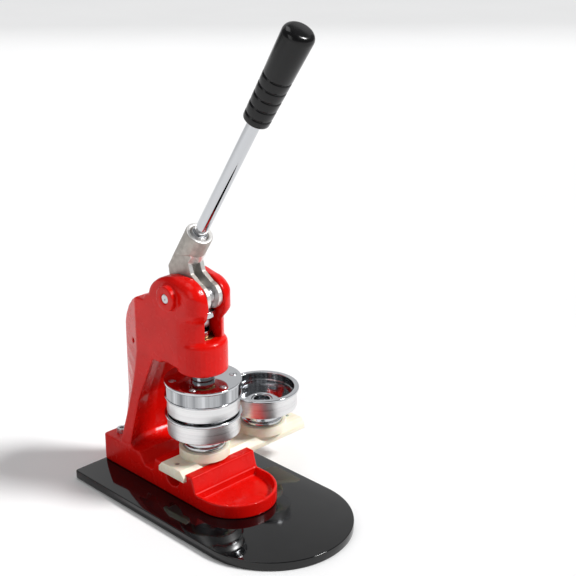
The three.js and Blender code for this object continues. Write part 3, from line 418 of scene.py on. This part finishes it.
def box_cutter(left, right, front, rear, low, high):
    outline = [(left, front), (right, front), (right, rear), (left, rear)]
    return prism("cutter", outline, "Z", low, high, 0)


def drill(radius, low, high, x=0, y=0, segments=48):
    profile = [(0, low), (radius, low), (radius, high), (0, high)]
    place = Matrix.Translation((x * MM, y * MM, 0))
    return turned("drill", profile, fillet=0, segments=segments, place=place)


def combined(piece, tools, operation="DIFFERENCE"):
    for tool in tools:
        modifier = piece.modifiers.new("tool", "BOOLEAN")
        modifier.operation = operation
        modifier.solver = "EXACT"
        modifier.object = tool
    applied(piece)
    for tool in tools:
        bpy.data.objects.remove(tool)
    shade(piece.data)
    return piece


# %% [markdown]
# ## The board
#
# A straight rear edge, parallel sides and a half-round front, cut from nine millimetre sheet.
# Its arris is polished to a small round that catches the light all the way along.

# %% Board
def arc_points(x, y, radius, start, end, steps):
    for k in range(steps + 1):
        angle = math.radians(start + (end - start) * k / steps)
        yield (x + radius * math.cos(angle), y + radius * math.sin(angle))


board_half = (board_high.x - board_low.x) / 2
board_outline = [
    *arc_points(0, board_low.y + board_half, board_half, 180, 360, 120),
    *arc_points(board_half - 2.5, board_high.y - 2.5, 2.5, 0, 90, 5),
    *arc_points(2.5 - board_half, board_high.y - 2.5, 2.5, 90, 180, 5),
]
board = prism("acrylic_board", board_outline, "Z", 0, board_high.z, 0.8, 3)
bolt_holes, nut_recesses = [], []
for node, recess in (
    ("base_bolt_left", "base_nut_left"), ("base_bolt_right", "base_nut_right"),
    ("front_screw_left", "front_screw_left"), ("front_screw_right", "front_screw_right"),
):
    low, high = extent(node)
    spot = {"x": (low.x + high.x) / 2, "y": (low.y + high.y) / 2}
    recess_top = extent(recess)[1].z + 0.2 if "nut" in recess else 3.2
    bolt_holes.append(drill(3.25, -1, board_high.z + 1, **spot))
    nut_recesses.append(drill(6.2, -1, recess_top, **spot))
combined(board, bolt_holes + nut_recesses)
board.data.materials.clear()
board.data.materials.append(black_acrylic)
settle(board, "frame", "black_acrylic", "base_board")

# %% [markdown]
# ## The casting
#
# Cast iron has no sharp edges: the pattern is filleted so that sand leaves it and metal fills
# it. The CAD solid is exact but crisp, so a merged copy of it is rebuilt from small voxels and
# relaxed, which rounds every corner by about the same two millimetres.

# %% Casting
def recast(name, node, voxel, relax, most_triangles, *finishes):
    shape = bmesh.new()
    shape.from_mesh(frame["nodes"][node].data)
    bmesh.ops.remove_doubles(shape, verts=shape.verts, dist=1e-6)
    mesh = bpy.data.meshes.new(name)
    shape.to_mesh(mesh)
    shape.free()
    mesh.materials.clear()
    piece = object_from(name, mesh, *finishes)
    remesh = piece.modifiers.new("voxels", "REMESH")
    remesh.mode = "VOXEL"
    remesh.voxel_size = voxel * MM
    smooth = piece.modifiers.new("fettling", "SMOOTH")
    smooth.factor = 0.5
    smooth.iterations = relax
    applied(piece)
    triangles = sum(len(face.vertices) - 2 for face in piece.data.polygons)
    if triangles > most_triangles:
        thin = piece.modifiers.new("thinning", "DECIMATE")
        thin.ratio = most_triangles / triangles
        applied(piece)
    piece.data.shade_smooth()
    return piece


casting_voxel = 0.8
casting = recast("cast_frame", "frame_casting", casting_voxel, 9, 170000, red_enamel)
settle(casting, "frame", "red_paint", "frame_casting")

# %% [markdown]
# ## Lower dies
#
# Each die is a stepped foot under a cup. The cup's outside is satin, its mouth and its inside
# are polished, the inside drawn with a painted reflection of streaks, and a small sprung platform sits
# in it round the foot's tube.

# %% Lower dies
foot_low, foot_high = extent("die_foot_1")
platform_low, platform_high = extent("die_platform_1")
foot_radius = (foot_high.x - foot_low.x) / 2
cup_radius, cup_bore, tube_radius = rim_radius - 2.3, rim_radius - 6.9, 10.9
cup_z, lip_z, ledge_z = cup_low.z, cup_high.z - 2.6, cup_high.z - 8
platform_radius = (platform_high.x - platform_low.x) / 2

foot_profile = [
    (0, cup_z - 3), (8.5, cup_z - 3), (8.5, foot_high.z), (tube_radius, foot_high.z),
    (tube_radius, cup_z - 0.2), (foot_radius * 0.7, cup_z - 0.2), (foot_radius * 0.7, cup_z - 3.6, 0.9),
    (foot_radius * 0.8, cup_z - 3.6, 0.9), (foot_radius * 0.8, cup_z - 7.5, 0.9),
    (foot_radius * 0.89, cup_z - 7.7, 0.9), (foot_radius * 0.89, cup_z - 12.2, 0.9),
    (foot_radius, cup_z - 12.4, 0.9), (foot_radius, cup_z - 17.9), (foot_radius * 0.54, cup_z - 17.9),
    (foot_radius * 0.54, foot_low.z), (0, foot_low.z),
]
cup_profile = [
    (tube_radius + 0.25, cup_z), (cup_radius, cup_z, 1.4), (cup_radius, lip_z - 0.8, 0.3),
    (rim_radius, lip_z, 0.5), (rim_radius, cup_high.z, 0.7), (cup_bore + 1.7, cup_high.z, 0.7),
    (cup_bore + 1.2, ledge_z, 0.3), (cup_bore, ledge_z, 0.5), (cup_bore, cup_z + 2.3, 1.2),
    (tube_radius + 0.25, cup_z + 2.3, 0),
]
platform_profile = [
    (tube_radius + 0.25, platform_low.z), (platform_radius, platform_low.z),
    (platform_radius, platform_high.z - 0.8), (platform_radius - 4.8, platform_high.z - 0.8, 0.8),
    (platform_radius - 5.4, platform_high.z, 0.8), (tube_radius + 0.25, platform_high.z),
]


# The cup's bore takes the chrome with painted reflection streaks, its outside the satin steel.
def cup_finish(radius, height):
    if radius > cup_radius - 1 and cup_z + 1 < height < lip_z - 1:
        return 1
    return 2 if cup_bore - 1 < radius < cup_bore + 1.6 and height > cup_z + 2 else 0


for index, x in ((1, 0), (2, idle_x)):
    place = Matrix.Translation((x * MM, 0, 0))
    foot = turned(f"turned_die_foot_{index}", foot_profile, chrome, place=place)
    cup = turned(
        f"turned_die_cup_{index}", cup_profile, chrome, satin_steel, painted_reflection_chrome,
        place=place, choose=cup_finish,
    )
    platform = turned(f"turned_platform_{index}", platform_profile, chrome, place=place)
    combined(foot, [drill(3.25, foot_low.z - 1, cup_z - 5.8, x)])
    settle(foot, "rail", "chrome", f"die_foot_{index}")
    settle(cup, "rail", "chrome", f"die_cup_{index}")
    settle(platform, f"platform_{index}", "brushed_steel", f"die_platform_{index}")

# %% [markdown]
# ## The upper die
#
# A polished plate and shell hang on the ram. The satin crimp ring below them is held up by
# springs and by three shoulder bolts, so it can rise into the shell as the die closes.

# %% Upper die
ring_radius = (ring_high.x - ring_low.x) / 2
ring_bore = ring_radius - 4.05
shell_radius = (shell_high.x - shell_low.x) / 2
plate_radius = (plate_high.x - plate_low.x) / 2
shell_bore = ring_radius + 0.3
ram_stud = 6.25

plate_profile = [
    (ram_stud, plate_low.z), (plate_radius, plate_low.z, 0.8),
    (plate_radius, plate_high.z, 0.8), (ram_stud, plate_high.z),
]
shell_profile = [
    (shell_bore, shell_low.z), (shell_radius, shell_low.z, 0.5), (shell_radius, shell_low.z + 1.5, 0.5),
    (shell_radius - 0.8, shell_low.z + 1.9, 0.3), (shell_radius - 0.8, shell_high.z, 0.3),
    (ram_stud, shell_high.z), (ram_stud, shell_high.z - 2.3), (shell_bore, shell_high.z - 2.3),
]
flange_z = ring_low.z + 8.5
ring_profile = [
    (ring_bore, ring_low.z, 0.5), (ring_radius, ring_low.z, 0.9), (ring_radius, ring_high.z),
    (ring_bore, ring_high.z), (ring_bore, flange_z + 2.5), (24, flange_z + 2.5), (24, flange_z),
    (ring_bore, flange_z),
]


# The shell's outer band takes the chrome with painted reflection streaks.
def shell_finish(radius, height):
    return 1 if radius > shell_radius - 1.2 and height > shell_low.z + 1.7 else 0


def ring_outside(radius, height):
    return 1 if radius > ring_radius - 1 else 0


screw_spots = []
for node in (f"{kind}_{i}" for i in (1, 2, 3) for kind in ("ring_bolt", "plate_screw")):
    low, high = extent(node)
    screw_spots.append(((low.x + high.x) / 2, (low.y + high.y) / 2))
plate = turned("polished_die_plate", plate_profile, chrome)
combined(plate, [drill(3.85, plate_high.z - 2, plate_high.z + 1, x, y, 40) for x, y in screw_spots])
combined(plate, [drill(2.25, plate_low.z - 1, plate_high.z, x, y, 24) for x, y in screw_spots])
shell = turned("polished_die_shell", shell_profile, chrome, painted_reflection_chrome, choose=shell_finish)
combined(shell, [drill(2.25, shell_high.z - 4, shell_high.z + 1, x, y, 24) for x, y in screw_spots])
ring = turned("satin_crimp_ring", ring_profile, chrome, satin_steel, choose=ring_outside)
combined(ring, [drill(2.25, flange_z - 1, flange_z + 4, x, y, 24) for x, y in screw_spots[::2]])
settle(plate, "ram", "chrome", "upper_die_plate")
settle(shell, "ram", "chrome", "upper_die_shell")
settle(ring, "crimp_ring", "brushed_steel", "crimp_ring")

# %% [markdown]
# ## Ram and nut
#
# The ram is a ground and plated shaft. Its head is turned with it, then two flats are milled so
# that it fits between the ears, and a slot takes the link.

# %% Ram
ram_low, ram_high = extent("ram")
ram_pin_low, ram_pin_high = extent("ram_pin")
pin_z = (ram_pin_low.z + ram_pin_high.z) / 2
ram_radius, head_radius, head_z = 8.3, 15, ram_high.z - 6.5
nut_inner = 8.55
flat_x, slot_x = 10, 4.9
ram = turned("plated_ram", [
    (0, ram_low.z), (6, ram_low.z), (6, nut_low.z), (ram_radius, nut_low.z), (ram_radius, head_z),
    (head_radius, head_z, 1.2), (head_radius, ram_high.z, 1.2), (0, ram_high.z),
], chrome, segments=96)
combined(ram, [
    box_cutter(flat_x, 20, -20, 20, head_z - 1, ram_high.z + 1),
    box_cutter(-20, -flat_x, -20, 20, head_z - 1, ram_high.z + 1),
    box_cutter(-slot_x, slot_x, -11.6, 11.6, pin_z - 8.3, ram_high.z + 1),
    drill(3.75, ram_low.z - 1, shell_high.z - 0.1, segments=24),
])
settle(ram, "ram", "chrome", "ram")

nut_step = nut_low.z + 4.6
nut = turned("ram_nut_turned", [
    (nut_inner, nut_low.z), (nut_inner + 3.6, nut_low.z, 0.7), (nut_inner + 3.6, nut_step, 0.7),
    (nut_inner + 1.9, nut_step, 0.5), (nut_inner + 1.9, nut_high.z, 0.5), (nut_inner, nut_high.z),
], chrome, segments=96)
settle(nut, "ram", "chrome", "ram_nut")

for node in ("ram_bush_lower", "ram_bush_upper"):
    low, high = extent(node)
    outer = (high.x - low.x) / 2
    bush_profile = [(nut_inner, low.z), (outer, low.z), (outer, high.z), (nut_inner, high.z)]
    bush = turned(f"bronze_{node}", bush_profile, bronze, segments=64)
    settle(bush, "frame", "bronze", node)

# %% [markdown]
# ## The rail
#
# A dovetail bar of nylon with two round bosses that hold the dies. It is milled in one piece,
# with a shallow socket in each boss and a slot underneath for the stop screw.

# %% Rail
rail_foot, rail_top_half = 19.5, 14
rail_top_z = rail_low.z + 11.4
boss_radius = 26.2
socket_floor = rail_high.z - 2
dovetail = [
    (-rail_foot, rail_low.z), (rail_foot, rail_low.z), (rail_foot, rail_low.z + 5.5),
    (rail_top_half, rail_top_z), (-rail_top_half, rail_top_z), (-rail_foot, rail_low.z + 5.5),
]
rail = prism("nylon_rail", dovetail, "X", rail_low.x, rail_high.x, 0.5, 2)
boss_profile = [
    (0, rail_top_z - 4), (boss_radius, rail_top_z - 4, 0),
    (boss_radius, rail_high.z, 0.9), (0, rail_high.z),
]
bosses = [
    turned("boss", boss_profile, place=Matrix.Translation((x * MM, 0, 0)))
    for x in (0, idle_x)
]
for boss in bosses:
    combined(boss, [box_cutter(-40, 140, -40, 40, rail_top_z - 6, rail_top_z - 0.02)])
combined(rail, bosses, "UNION")
end_screws = [(rail_low.x + 9, 0), (rail_high.x - 9, 0)]
cutters = [box_cutter(0, idle_x, 13 - 2.25, 13 + 2.25, rail_low.z - 1, rail_low.z + 4)]
cutters += [drill(2.6, rail_top_z - 5, rail_top_z + 1, x) for x, _ in end_screws]
for x in (0, idle_x):
    cutters.append(drill(2.25, rail_low.z - 1, rail_low.z + 4, x, 13))
    cutters.append(drill(foot_radius + 0.25, socket_floor, rail_high.z + 1, x, segments=96))
    cutters.append(drill(foot_radius * 0.54 + 0.25, foot_low.z - 0.2, rail_high.z, x))
    cutters.append(drill(3.25, rail_low.z - 1, rail_high.z, x))
    cutters.append(drill(6, rail_low.z - 1, rail_low.z + 4.6, x))
combined(rail, cutters)
rail.data.materials.clear()
rail.data.materials.append(cream_nylon)
settle(rail, "rail", "cream_nylon", "slide_rail")

# %% [markdown]
# ## Link, fork and what the handle carries
#
# The fork is a casting like the frame, only smaller, so it is rebuilt from finer voxels. The
# faces that a cutter has passed over get the milled finish, found by the way they face.

# %% Link and fork
link_bar = recast("forged_link", "link", 0.45, 2, 60000, bright_steel)
settle(link_bar, "link", "brushed_steel", "link")

pivot_low, pivot_high = extent("pivot_pin")
pivot = Vector((0, (pivot_low.y + pivot_high.y) / 2, (pivot_low.z + pivot_high.z) / 2))
lean = math.radians(33)
handle_frame = Matrix.Translation(pivot * MM) @ Matrix.Rotation(lean, 4, "X")
socket_offset, socket_mouth = 20.3, 64
on_socket = handle_frame @ Matrix.Translation((0, socket_offset * MM, 0))

fork_voxel = 0.55
fork = recast("cast_fork", "handle_fork", fork_voxel, 3, 120000, blasted_aluminium, milled_aluminium)
to_handle = handle_frame.inverted()
turn = to_handle.to_3x3()
milled = 0
for face in fork.data.polygons:
    centre = (to_handle @ face.center) / MM
    normal = turn @ face.normal
    cheek_edge = normal.y < -0.45 and centre.y < socket_offset - 9 and centre.z < 44
    mouth = normal.z > 0.7 and centre.z > socket_mouth - 2.5
    inner = abs(normal.x) > 0.8 and abs(centre.x) < 6
    face.material_index = 1 if cheek_edge or mouth or inner else 0
    milled += face.material_index
settle(fork, "handle", "cast_aluminium", "handle_fork")
print("milled faces on the fork:", milled)

# %% [markdown]
# ## Rod and grip
#
# The rod is bright drawn bar, plated, in a steel sleeve. The grip's profile follows a rule: a
# slow taper, five finger grooves eleven millimetres apart, and a round end.

# %% Rod and grip
rod_radius, sleeve_foot = 6.5, 44
grip_z, grip_length = 212.7, 103
grip_foot_radius, grip_end_radius = 12.8, 15.2
first_groove, groove_pitch, groove_half, groove_depth = 7.5, 11, 1.2, 1.1
dome_height = 7
rod_top = grip_z + grip_length - 16
rod_profile = [(0, sleeve_foot), (rod_radius, sleeve_foot), (rod_radius, rod_top), (0, rod_top)]
rod = turned("plated_rod", rod_profile, chrome, place=on_socket, segments=64)
sleeve_outer = rod_radius + 2.45
sleeve = turned("rod_sleeve_turned", [
    (rod_radius + 0.25, sleeve_foot), (sleeve_outer, sleeve_foot), (sleeve_outer, socket_mouth - 2, 0.5),
    (sleeve_outer - 1.1, socket_mouth - 0.6, 0.4), (sleeve_outer - 1.1, socket_mouth + 1, 0.4),
    (rod_radius + 0.25, socket_mouth + 1),
], bright_steel, place=on_socket, segments=64)


def grip_radius(along):
    return grip_foot_radius + (grip_end_radius - grip_foot_radius) * along / grip_length


grip_profile = [(0, rod_top + 0.2), (rod_radius + 0.25, rod_top + 0.2), (rod_radius + 0.25, grip_z)]
grip_profile.append((grip_radius(0), grip_z, 1.3))
for groove in range(5):
    along = first_groove + groove * groove_pitch
    full = grip_radius(along)
    grip_profile += [
        (full, grip_z + along - groove_half, 0.5), (full - groove_depth, grip_z + along, 0.5),
        (full, grip_z + along + groove_half, 0.5),
    ]
for angle in range(0, 90, 10):
    turn_angle = math.radians(angle)
    radius = grip_end_radius - dome_height * (1 - math.cos(turn_angle))
    height = grip_z + grip_length - dome_height + dome_height * math.sin(turn_angle)
    grip_profile.append((radius, height, 0))
grip_profile.append((0, grip_z + grip_length))
grip = turned("moulded_grip", grip_profile, black_pvc, place=on_socket, segments=96)
settle(rod, "handle", "chrome", "handle_rod")
settle(sleeve, "handle", "brushed_steel", "rod_sleeve")
settle(grip, "handle", "black_grip", "handle_grip")

# %% [markdown]
# ## Pivot pin
#
# A ground pin with a small centre drilled in each end, as it came off the lathe.

# %% Pivot pin
pin_reach = pivot_high.x
pin_radius = (pivot_high.y - pivot_low.y) / 2
across = Matrix.Translation(pivot * MM) @ Matrix.Rotation(math.pi / 2, 4, "Y")
pin = turned("ground_pivot_pin", [
    (0, 1.4 - pin_reach), (1.5, -pin_reach, 0.2), (pin_radius, -pin_reach, 0.7),
    (pin_radius, pin_reach, 0.7), (1.5, pin_reach, 0.2), (0, pin_reach - 1.4),
], bright_steel, place=across, segments=64)
settle(pin, "frame", "brushed_steel", "pivot_pin")

# %% [markdown]
# ## Socket screws by Geometry Nodes
#
# One tree makes every socket screw on the press. It takes points, puts a screw on each and
# joins them into one mesh. Its sizes are named inputs, so each family of screws sets its own.
# A screw is a cylinder, a chamfer cone and a shank joined, less a hexagonal socket.

# %% Screw tree
SCREW_SIZES = {
    "Head Radius": 3.6, "Head Height": 2.0, "Chamfer": 0.4, "Shank Radius": 1.6, "Shank Length": 5.0,
    "Socket Radius": 1.8, "Socket Depth": 1.2,
}


def new_tree(name, sizes):
    """A tree that takes points, named sizes and a finish, and gives one mesh."""
    tree = bpy.data.node_groups.new(name, "GeometryNodeTree")
    sockets = [("Points", "Geometry"), *((title, "Float") for title in sizes), ("Finish", "Material")]
    for title, kind in sockets:
        tree.interface.new_socket(title, in_out="INPUT", socket_type=f"NodeSocket{kind}")
    tree.interface.new_socket("Made", in_out="OUTPUT", socket_type="NodeSocketGeometry")
    return tree, add_node(tree, "NodeGroupInput").outputs


def stand_on_points(tree, inputs, shape):
    """Ends a tree: a copy on each point, made real, with its finish."""
    placed = add_node(
        tree, "GeometryNodeInstanceOnPoints", {"Points": inputs["Points"], "Instance": shape},
    )
    real = add_node(tree, "GeometryNodeRealizeInstances", {"Geometry": placed.outputs[0]})
    finish = {"Geometry": real.outputs[0], "Material": inputs["Finish"]}
    dressed = add_node(tree, "GeometryNodeSetMaterial", finish)
    add_node(tree, "NodeGroupOutput", {"Made": dressed.outputs[0]})


def sum_of(tree, a, b, operation="ADD"):
    return add_node(tree, "ShaderNodeMath", {0: a, 1: b}, operation=operation).outputs[0]


def lifted(tree, geometry, height):
    offset = add_node(tree, "ShaderNodeCombineXYZ", {"Z": height}).outputs[0]
    moved = add_node(tree, "GeometryNodeTransform", {"Geometry": geometry, "Translation": offset})
    return moved.outputs[0]


screw_tree, size = new_tree("socket_screws", SCREW_SIZES)


def screw_cylinder(sides, radius, depth, base):
    measures = {"Vertices": sides, "Radius": radius, "Depth": depth}
    made = add_node(screw_tree, "GeometryNodeMeshCylinder", measures)
    centre = sum_of(screw_tree, base, sum_of(screw_tree, depth, 0.5, "MULTIPLY"))
    return lifted(screw_tree, made.outputs[0], centre)


body_height = sum_of(screw_tree, size["Head Height"], size["Chamfer"], "SUBTRACT")
head = screw_cylinder(48, size["Head Radius"], body_height, 0.0)
top_radius = sum_of(screw_tree, size["Head Radius"], size["Chamfer"], "SUBTRACT")
cone = add_node(screw_tree, "GeometryNodeMeshCone", {
    "Vertices": 48, "Radius Top": top_radius, "Radius Bottom": size["Head Radius"],
    "Depth": size["Chamfer"],
})
chamfer = lifted(screw_tree, cone.outputs[0], body_height)
shank_base = sum_of(screw_tree, 0.0, size["Shank Length"], "SUBTRACT")
shank_depth = sum_of(screw_tree, size["Shank Length"], 0.0002)
shank = screw_cylinder(24, size["Shank Radius"], shank_depth, shank_base)
socket_base = sum_of(screw_tree, size["Head Height"], size["Socket Depth"], "SUBTRACT")
hexagon = screw_cylinder(6, size["Socket Radius"], 0.01, socket_base)
whole = add_node(screw_tree, "GeometryNodeMeshBoolean", operation="UNION", solver="EXACT")
for part in (head, chamfer, shank):
    screw_tree.links.new(part, whole.inputs["Mesh 2"])
socketed = add_node(
    screw_tree, "GeometryNodeMeshBoolean", {"Mesh 1": whole.outputs[0], "Mesh 2": hexagon},
    operation="DIFFERENCE", solver="EXACT",
)
stand_on_points(screw_tree, size, socketed.outputs[0])
print("screw tree:", len(screw_tree.nodes), "nodes")

# %% [markdown]
# The tree is used by giving it a mesh of loose points. Each input is set by its identifier
# before the object is first evaluated, and the result replaces the points as a plain mesh.

# %% Growing a tree
def grown(name, points, tree, finish, **sizes):
    mesh = bpy.data.meshes.new(name)
    mesh.from_pydata([Vector(point) * MM for point in points], [], [])
    piece = object_from(name, mesh)
    modifier = piece.modifiers.new(tree.name, "NODES")
    modifier.node_group = tree
    for item in tree.interface.items_tree:
        if item.item_type != "SOCKET" or item.in_out != "INPUT":
            continue
        key = item.name.replace(" ", "_").lower()
        if key in sizes:
            modifier[item.identifier] = float(sizes[key])
        elif item.name == "Finish":
            modifier[item.identifier] = finish
    applied(piece)
    shade(piece.data, 30)
    return piece


def screws(name, points, finish=bright_steel, **changes):
    sizes = {key.replace(" ", "_").lower(): value * MM for key, value in SCREW_SIZES.items()}
    sizes.update({key: value * MM for key, value in changes.items()})
    return grown(name, points, screw_tree, finish, **sizes)


def foot_of(node, height):
    low, high = extent(node)
    return ((low.x + high.x) / 2, (low.y + high.y) / 2, high.z - height)


ring_bolts = [f"ring_bolt_{i}" for i in (1, 2, 3)]
plate_screws = [f"plate_screw_{i}" for i in (1, 2, 3)]
bolt_length = extent("ring_bolt_1")[1].z - extent("ring_bolt_1")[0].z - 2
shoulder_bolts = screws(
    "ring_shoulder_bolts", [foot_of(n, 2) for n in ring_bolts], shank_radius=2, shank_length=bolt_length,
)
settle(shoulder_bolts, "crimp_ring", "brushed_steel", *ring_bolts)
cap_screws = screws("plate_cap_screws", [foot_of(n, 2) for n in plate_screws], shank_length=3.4)
settle(cap_screws, "ram", "brushed_steel", *plate_screws)
base_bolts = ["base_bolt_left", "base_bolt_right"]
base_length = extent("base_bolt_left")[1].z - extent("base_bolt_left")[0].z - 5
cap_bolts = screws(
    "base_cap_bolts", [foot_of(n, 5) for n in base_bolts], head_radius=5.5, head_height=5,
    chamfer=0.5, shank_radius=3, shank_length=base_length, socket_radius=2.9, socket_depth=2.8,
)
settle(cap_bolts, "frame", "chrome", *base_bolts)
rail_screws = ["rail_end_screw_left", "rail_end_screw_right"]
set_screws = screws(
    "rail_end_set_screws", [foot_of(n, 2) for n in rail_screws], head_radius=2.3, head_height=2,
    chamfer=0.3, shank_radius=2, shank_length=2, socket_radius=1.2, socket_depth=1.4,
)
settle(set_screws, "rail", "brushed_steel", *rail_screws)

# %% [markdown]
# ## Coil springs by Geometry Nodes
#
# A spiral curve with a round wire swept along it. The return spring stands round the ram inside
# the nose, and the ring's spring sits in the upper die.

# %% Springs
spring_tree, spring = new_tree("coil_spring", ("Coil Radius", "Wire Radius", "Length", "Turns"))
spiral = add_node(spring_tree, "GeometryNodeCurveSpiral", {
    "Resolution": 40, "Rotations": spring["Turns"], "Start Radius": spring["Coil Radius"],
    "End Radius": spring["Coil Radius"], "Height": spring["Length"],
})
round_wire = {"Resolution": 12, "Radius": spring["Wire Radius"]}
wire = add_node(spring_tree, "GeometryNodeCurvePrimitiveCircle", round_wire)
swept = add_node(spring_tree, "GeometryNodeCurveToMesh", {
    "Curve": spiral.outputs[0], "Profile Curve": wire.outputs[0], "Fill Caps": True,
})
stand_on_points(spring_tree, spring, swept.outputs[0])

for node, body, joint, wire_radius, turns, anchor_end, keep in (
    ("return_spring", "frame", "ram_slide", 0.65, 4.5, 0, 0.31),
    ("crimp_ring_spring", "ram", "ring_float", 0.7, 4.0, 1, 0.31),
):
    low, high = extent(node)
    coil = grown(
        f"wound_{node}", [(0, 0, low.z + wire_radius)], spring_tree, spring_steel,
        coil_radius=((high.x - low.x) / 2 - wire_radius) * MM, wire_radius=wire_radius * MM,
        length=(high.z - low.z - 2 * wire_radius) * MM, turns=turns,
    )
    settle(coil, body, "spring_steel", node)
    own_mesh(coil)

# %% [markdown]
# ## Wave springs by Geometry Nodes
#
# Each platform stands on a wave spring: a flat ring of strip that rises and falls three times
# round. The tree bends a circle by a sine of its own position round the axis and sweeps a strip
# along it, so the number of waves is an input like any other.

# %% Wave springs
wave_sizes = ("Ring Radius", "Half Width", "Half Thickness", "Rise", "Waves")
wave_tree, wave = new_tree("wave_spring", wave_sizes)
circle = {"Resolution": 144, "Radius": wave["Ring Radius"]}
hoop = add_node(wave_tree, "GeometryNodeCurvePrimitiveCircle", circle)
spot = add_node(wave_tree, "GeometryNodeInputPosition").outputs[0]
parts = add_node(wave_tree, "ShaderNodeSeparateXYZ", {"Vector": spot}).outputs
round_axis = sum_of(wave_tree, parts["Y"], parts["X"], "ARCTAN2")
phase = sum_of(wave_tree, round_axis, wave["Waves"], "MULTIPLY")
sine = add_node(wave_tree, "ShaderNodeMath", {0: phase}, operation="SINE").outputs[0]
height = sum_of(wave_tree, sine, wave["Rise"], "MULTIPLY")
offset = add_node(wave_tree, "ShaderNodeCombineXYZ", {"Z": height}).outputs[0]
bent = add_node(wave_tree, "GeometryNodeSetPosition", {"Geometry": hoop.outputs[0], "Offset": offset})
upright = add_node(wave_tree, "GeometryNodeSetCurveNormal", {"Curve": bent.outputs[0]}, mode="Z_UP")
strip = add_node(wave_tree, "GeometryNodeCurvePrimitiveQuadrilateral", {
    "Width": sum_of(wave_tree, wave["Half Width"], 2.0, "MULTIPLY"),
    "Height": sum_of(wave_tree, wave["Half Thickness"], 2.0, "MULTIPLY"),
})
sweep = {"Curve": upright.outputs[0], "Profile Curve": strip.outputs[0]}
band = add_node(wave_tree, "GeometryNodeCurveToMesh", sweep)
stand_on_points(wave_tree, wave, band.outputs[0])
print("wave tree:", len(wave_tree.nodes), "nodes")

for index, x in ((1, 0), (2, idle_x)):
    low, high = extent(f"wave_spring_{index}")
    outer = (high.x - low.x) / 2
    half_width, half_thickness = 1.7, 0.2
    washer = grown(
        f"rolled_wave_spring_{index}", [(x, 0, (low.z + high.z) / 2)], wave_tree, spring_steel,
        ring_radius=(outer - half_width) * MM, half_width=half_width * MM,
        half_thickness=half_thickness * MM,
        rise=((high.z - low.z) / 2 - half_thickness) * MM, waves=3,
    )
    settle(washer, "rail", "spring_steel", f"wave_spring_{index}")
    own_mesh(washer)
    print("wave spring:", round(washer.dimensions.z / MM, 2), "mm, CAD:", round(high.z - low.z, 2))

# %% [markdown]
# ## Finishes on the CAD nodes that stay
#
# Small pins, nuts and hidden pieces already have their right shape, so they only get a finish.

# %% Dress the rest
# The chrome finish needs the turning UV map, which CAD nodes lack, so their chrome is bright steel.
slot_finishes = {
    "brushed_steel": bright_steel, "chrome": bright_steel,
    "spring_steel": spring_steel, "bronze": bronze,
}
for row in frame["record"]["subparts"]:
    node = frame["nodes"][row["node"]]
    if node.hide_render:
        continue
    node.data.materials.clear()
    node.data.materials.append(slot_finishes[row["material_slot"]])
    print("kept", row["node"])

# %% [markdown]
# ## Floor
#
# A plain pale floor, wide enough to fill the view. It is staged, so it is no part of the press.

# %% Floor
floor_finish = new_finish("studio_paper", "#f4f4f4", Roughness=0.85)
vary(floor_finish, "Base Color", pattern(floor_finish, (300, 300, 300)), "#f3f3f3", "#f5f5f5")
floor_mesh = bpy.data.meshes.new("studio_floor")
floor_half, floor_z = 40, -0.0006
quarters = ((-1, -1), (1, -1), (1, 1), (-1, 1))
floor_corners = [(a * floor_half, b * floor_half, floor_z) for a, b in quarters]
floor_mesh.from_pydata(floor_corners, [], [(0, 1, 2, 3)])
object_from("studio_floor", floor_mesh, floor_finish)

# %% [markdown]
# ## Light
#
# A sun with a soft edge is the key, from the front right. A weak fill stands on the left, a wide
# panel behind gives the board something pale to mirror, and a small one hangs overhead.
# The Standard view keeps the enamel's red as strong as it is set.

# %% Lights
def towards(azimuth, elevation):
    a, e = math.radians(azimuth), math.radians(elevation)
    return Vector((math.sin(a) * math.cos(e), -math.cos(a) * math.cos(e), math.sin(e)))


def lamp(name, light, direction, distance):
    made = bpy.data.objects.new(name, light)
    made.location = Vector((0.0, 0.02, 0.16)) + direction * distance
    made.rotation_euler = direction.to_track_quat("Z", "Y").to_euler()
    bpy.context.scene.collection.objects.link(made)


key_light = bpy.data.lights.new("key", "SUN")
key_light.angle = math.radians(14)
key_light.energy = 3.1
lamp("key", key_light, towards(38, 46), 2)
for name, azimuth, elevation, distance, width, height, power in (
    ("fill", -80, 30, 1.6, 0.7, 1.0, 3),
    ("wall", 138, 31, 2.6, 4.0, 2.6, 16),
    ("overhead", 200, 78, 1.6, 0.8, 0.8, 4),
):
    light = bpy.data.lights.new(name, "AREA")
    light.shape = "RECTANGLE"
    light.size, light.size_y, light.energy = width, height, power
    lamp(name, light, towards(azimuth, elevation), distance)

bpy.context.scene.view_settings.view_transform = "Standard"
world = bpy.data.worlds.new("studio")
bpy.context.scene.world = world
world.use_nodes = True
world.node_tree.nodes["Background"].inputs["Color"].default_value = (0.97, 0.98, 1.0, 1.0)
world.node_tree.nodes["Background"].inputs["Strength"].default_value = 0.2

# %% [markdown]
# ## Camera
#
# A long lens from the front left and above, level and without shift.

# %% Camera
camera_data = bpy.data.cameras.new("view")
camera_data.lens, camera_data.sensor_width = 78.29, 36
camera = bpy.data.objects.new("view", camera_data)
camera.location = Vector((-752.6, -880.8, 661.5)) * MM
aim = Vector((121.632, 0, 193.353)) * MM
camera.rotation_euler = (aim - camera.location).to_track_quat("-Z", "Y").to_euler()
camera_data.clip_end = 50
bpy.context.scene.collection.objects.link(camera)
bpy.context.scene.camera = camera
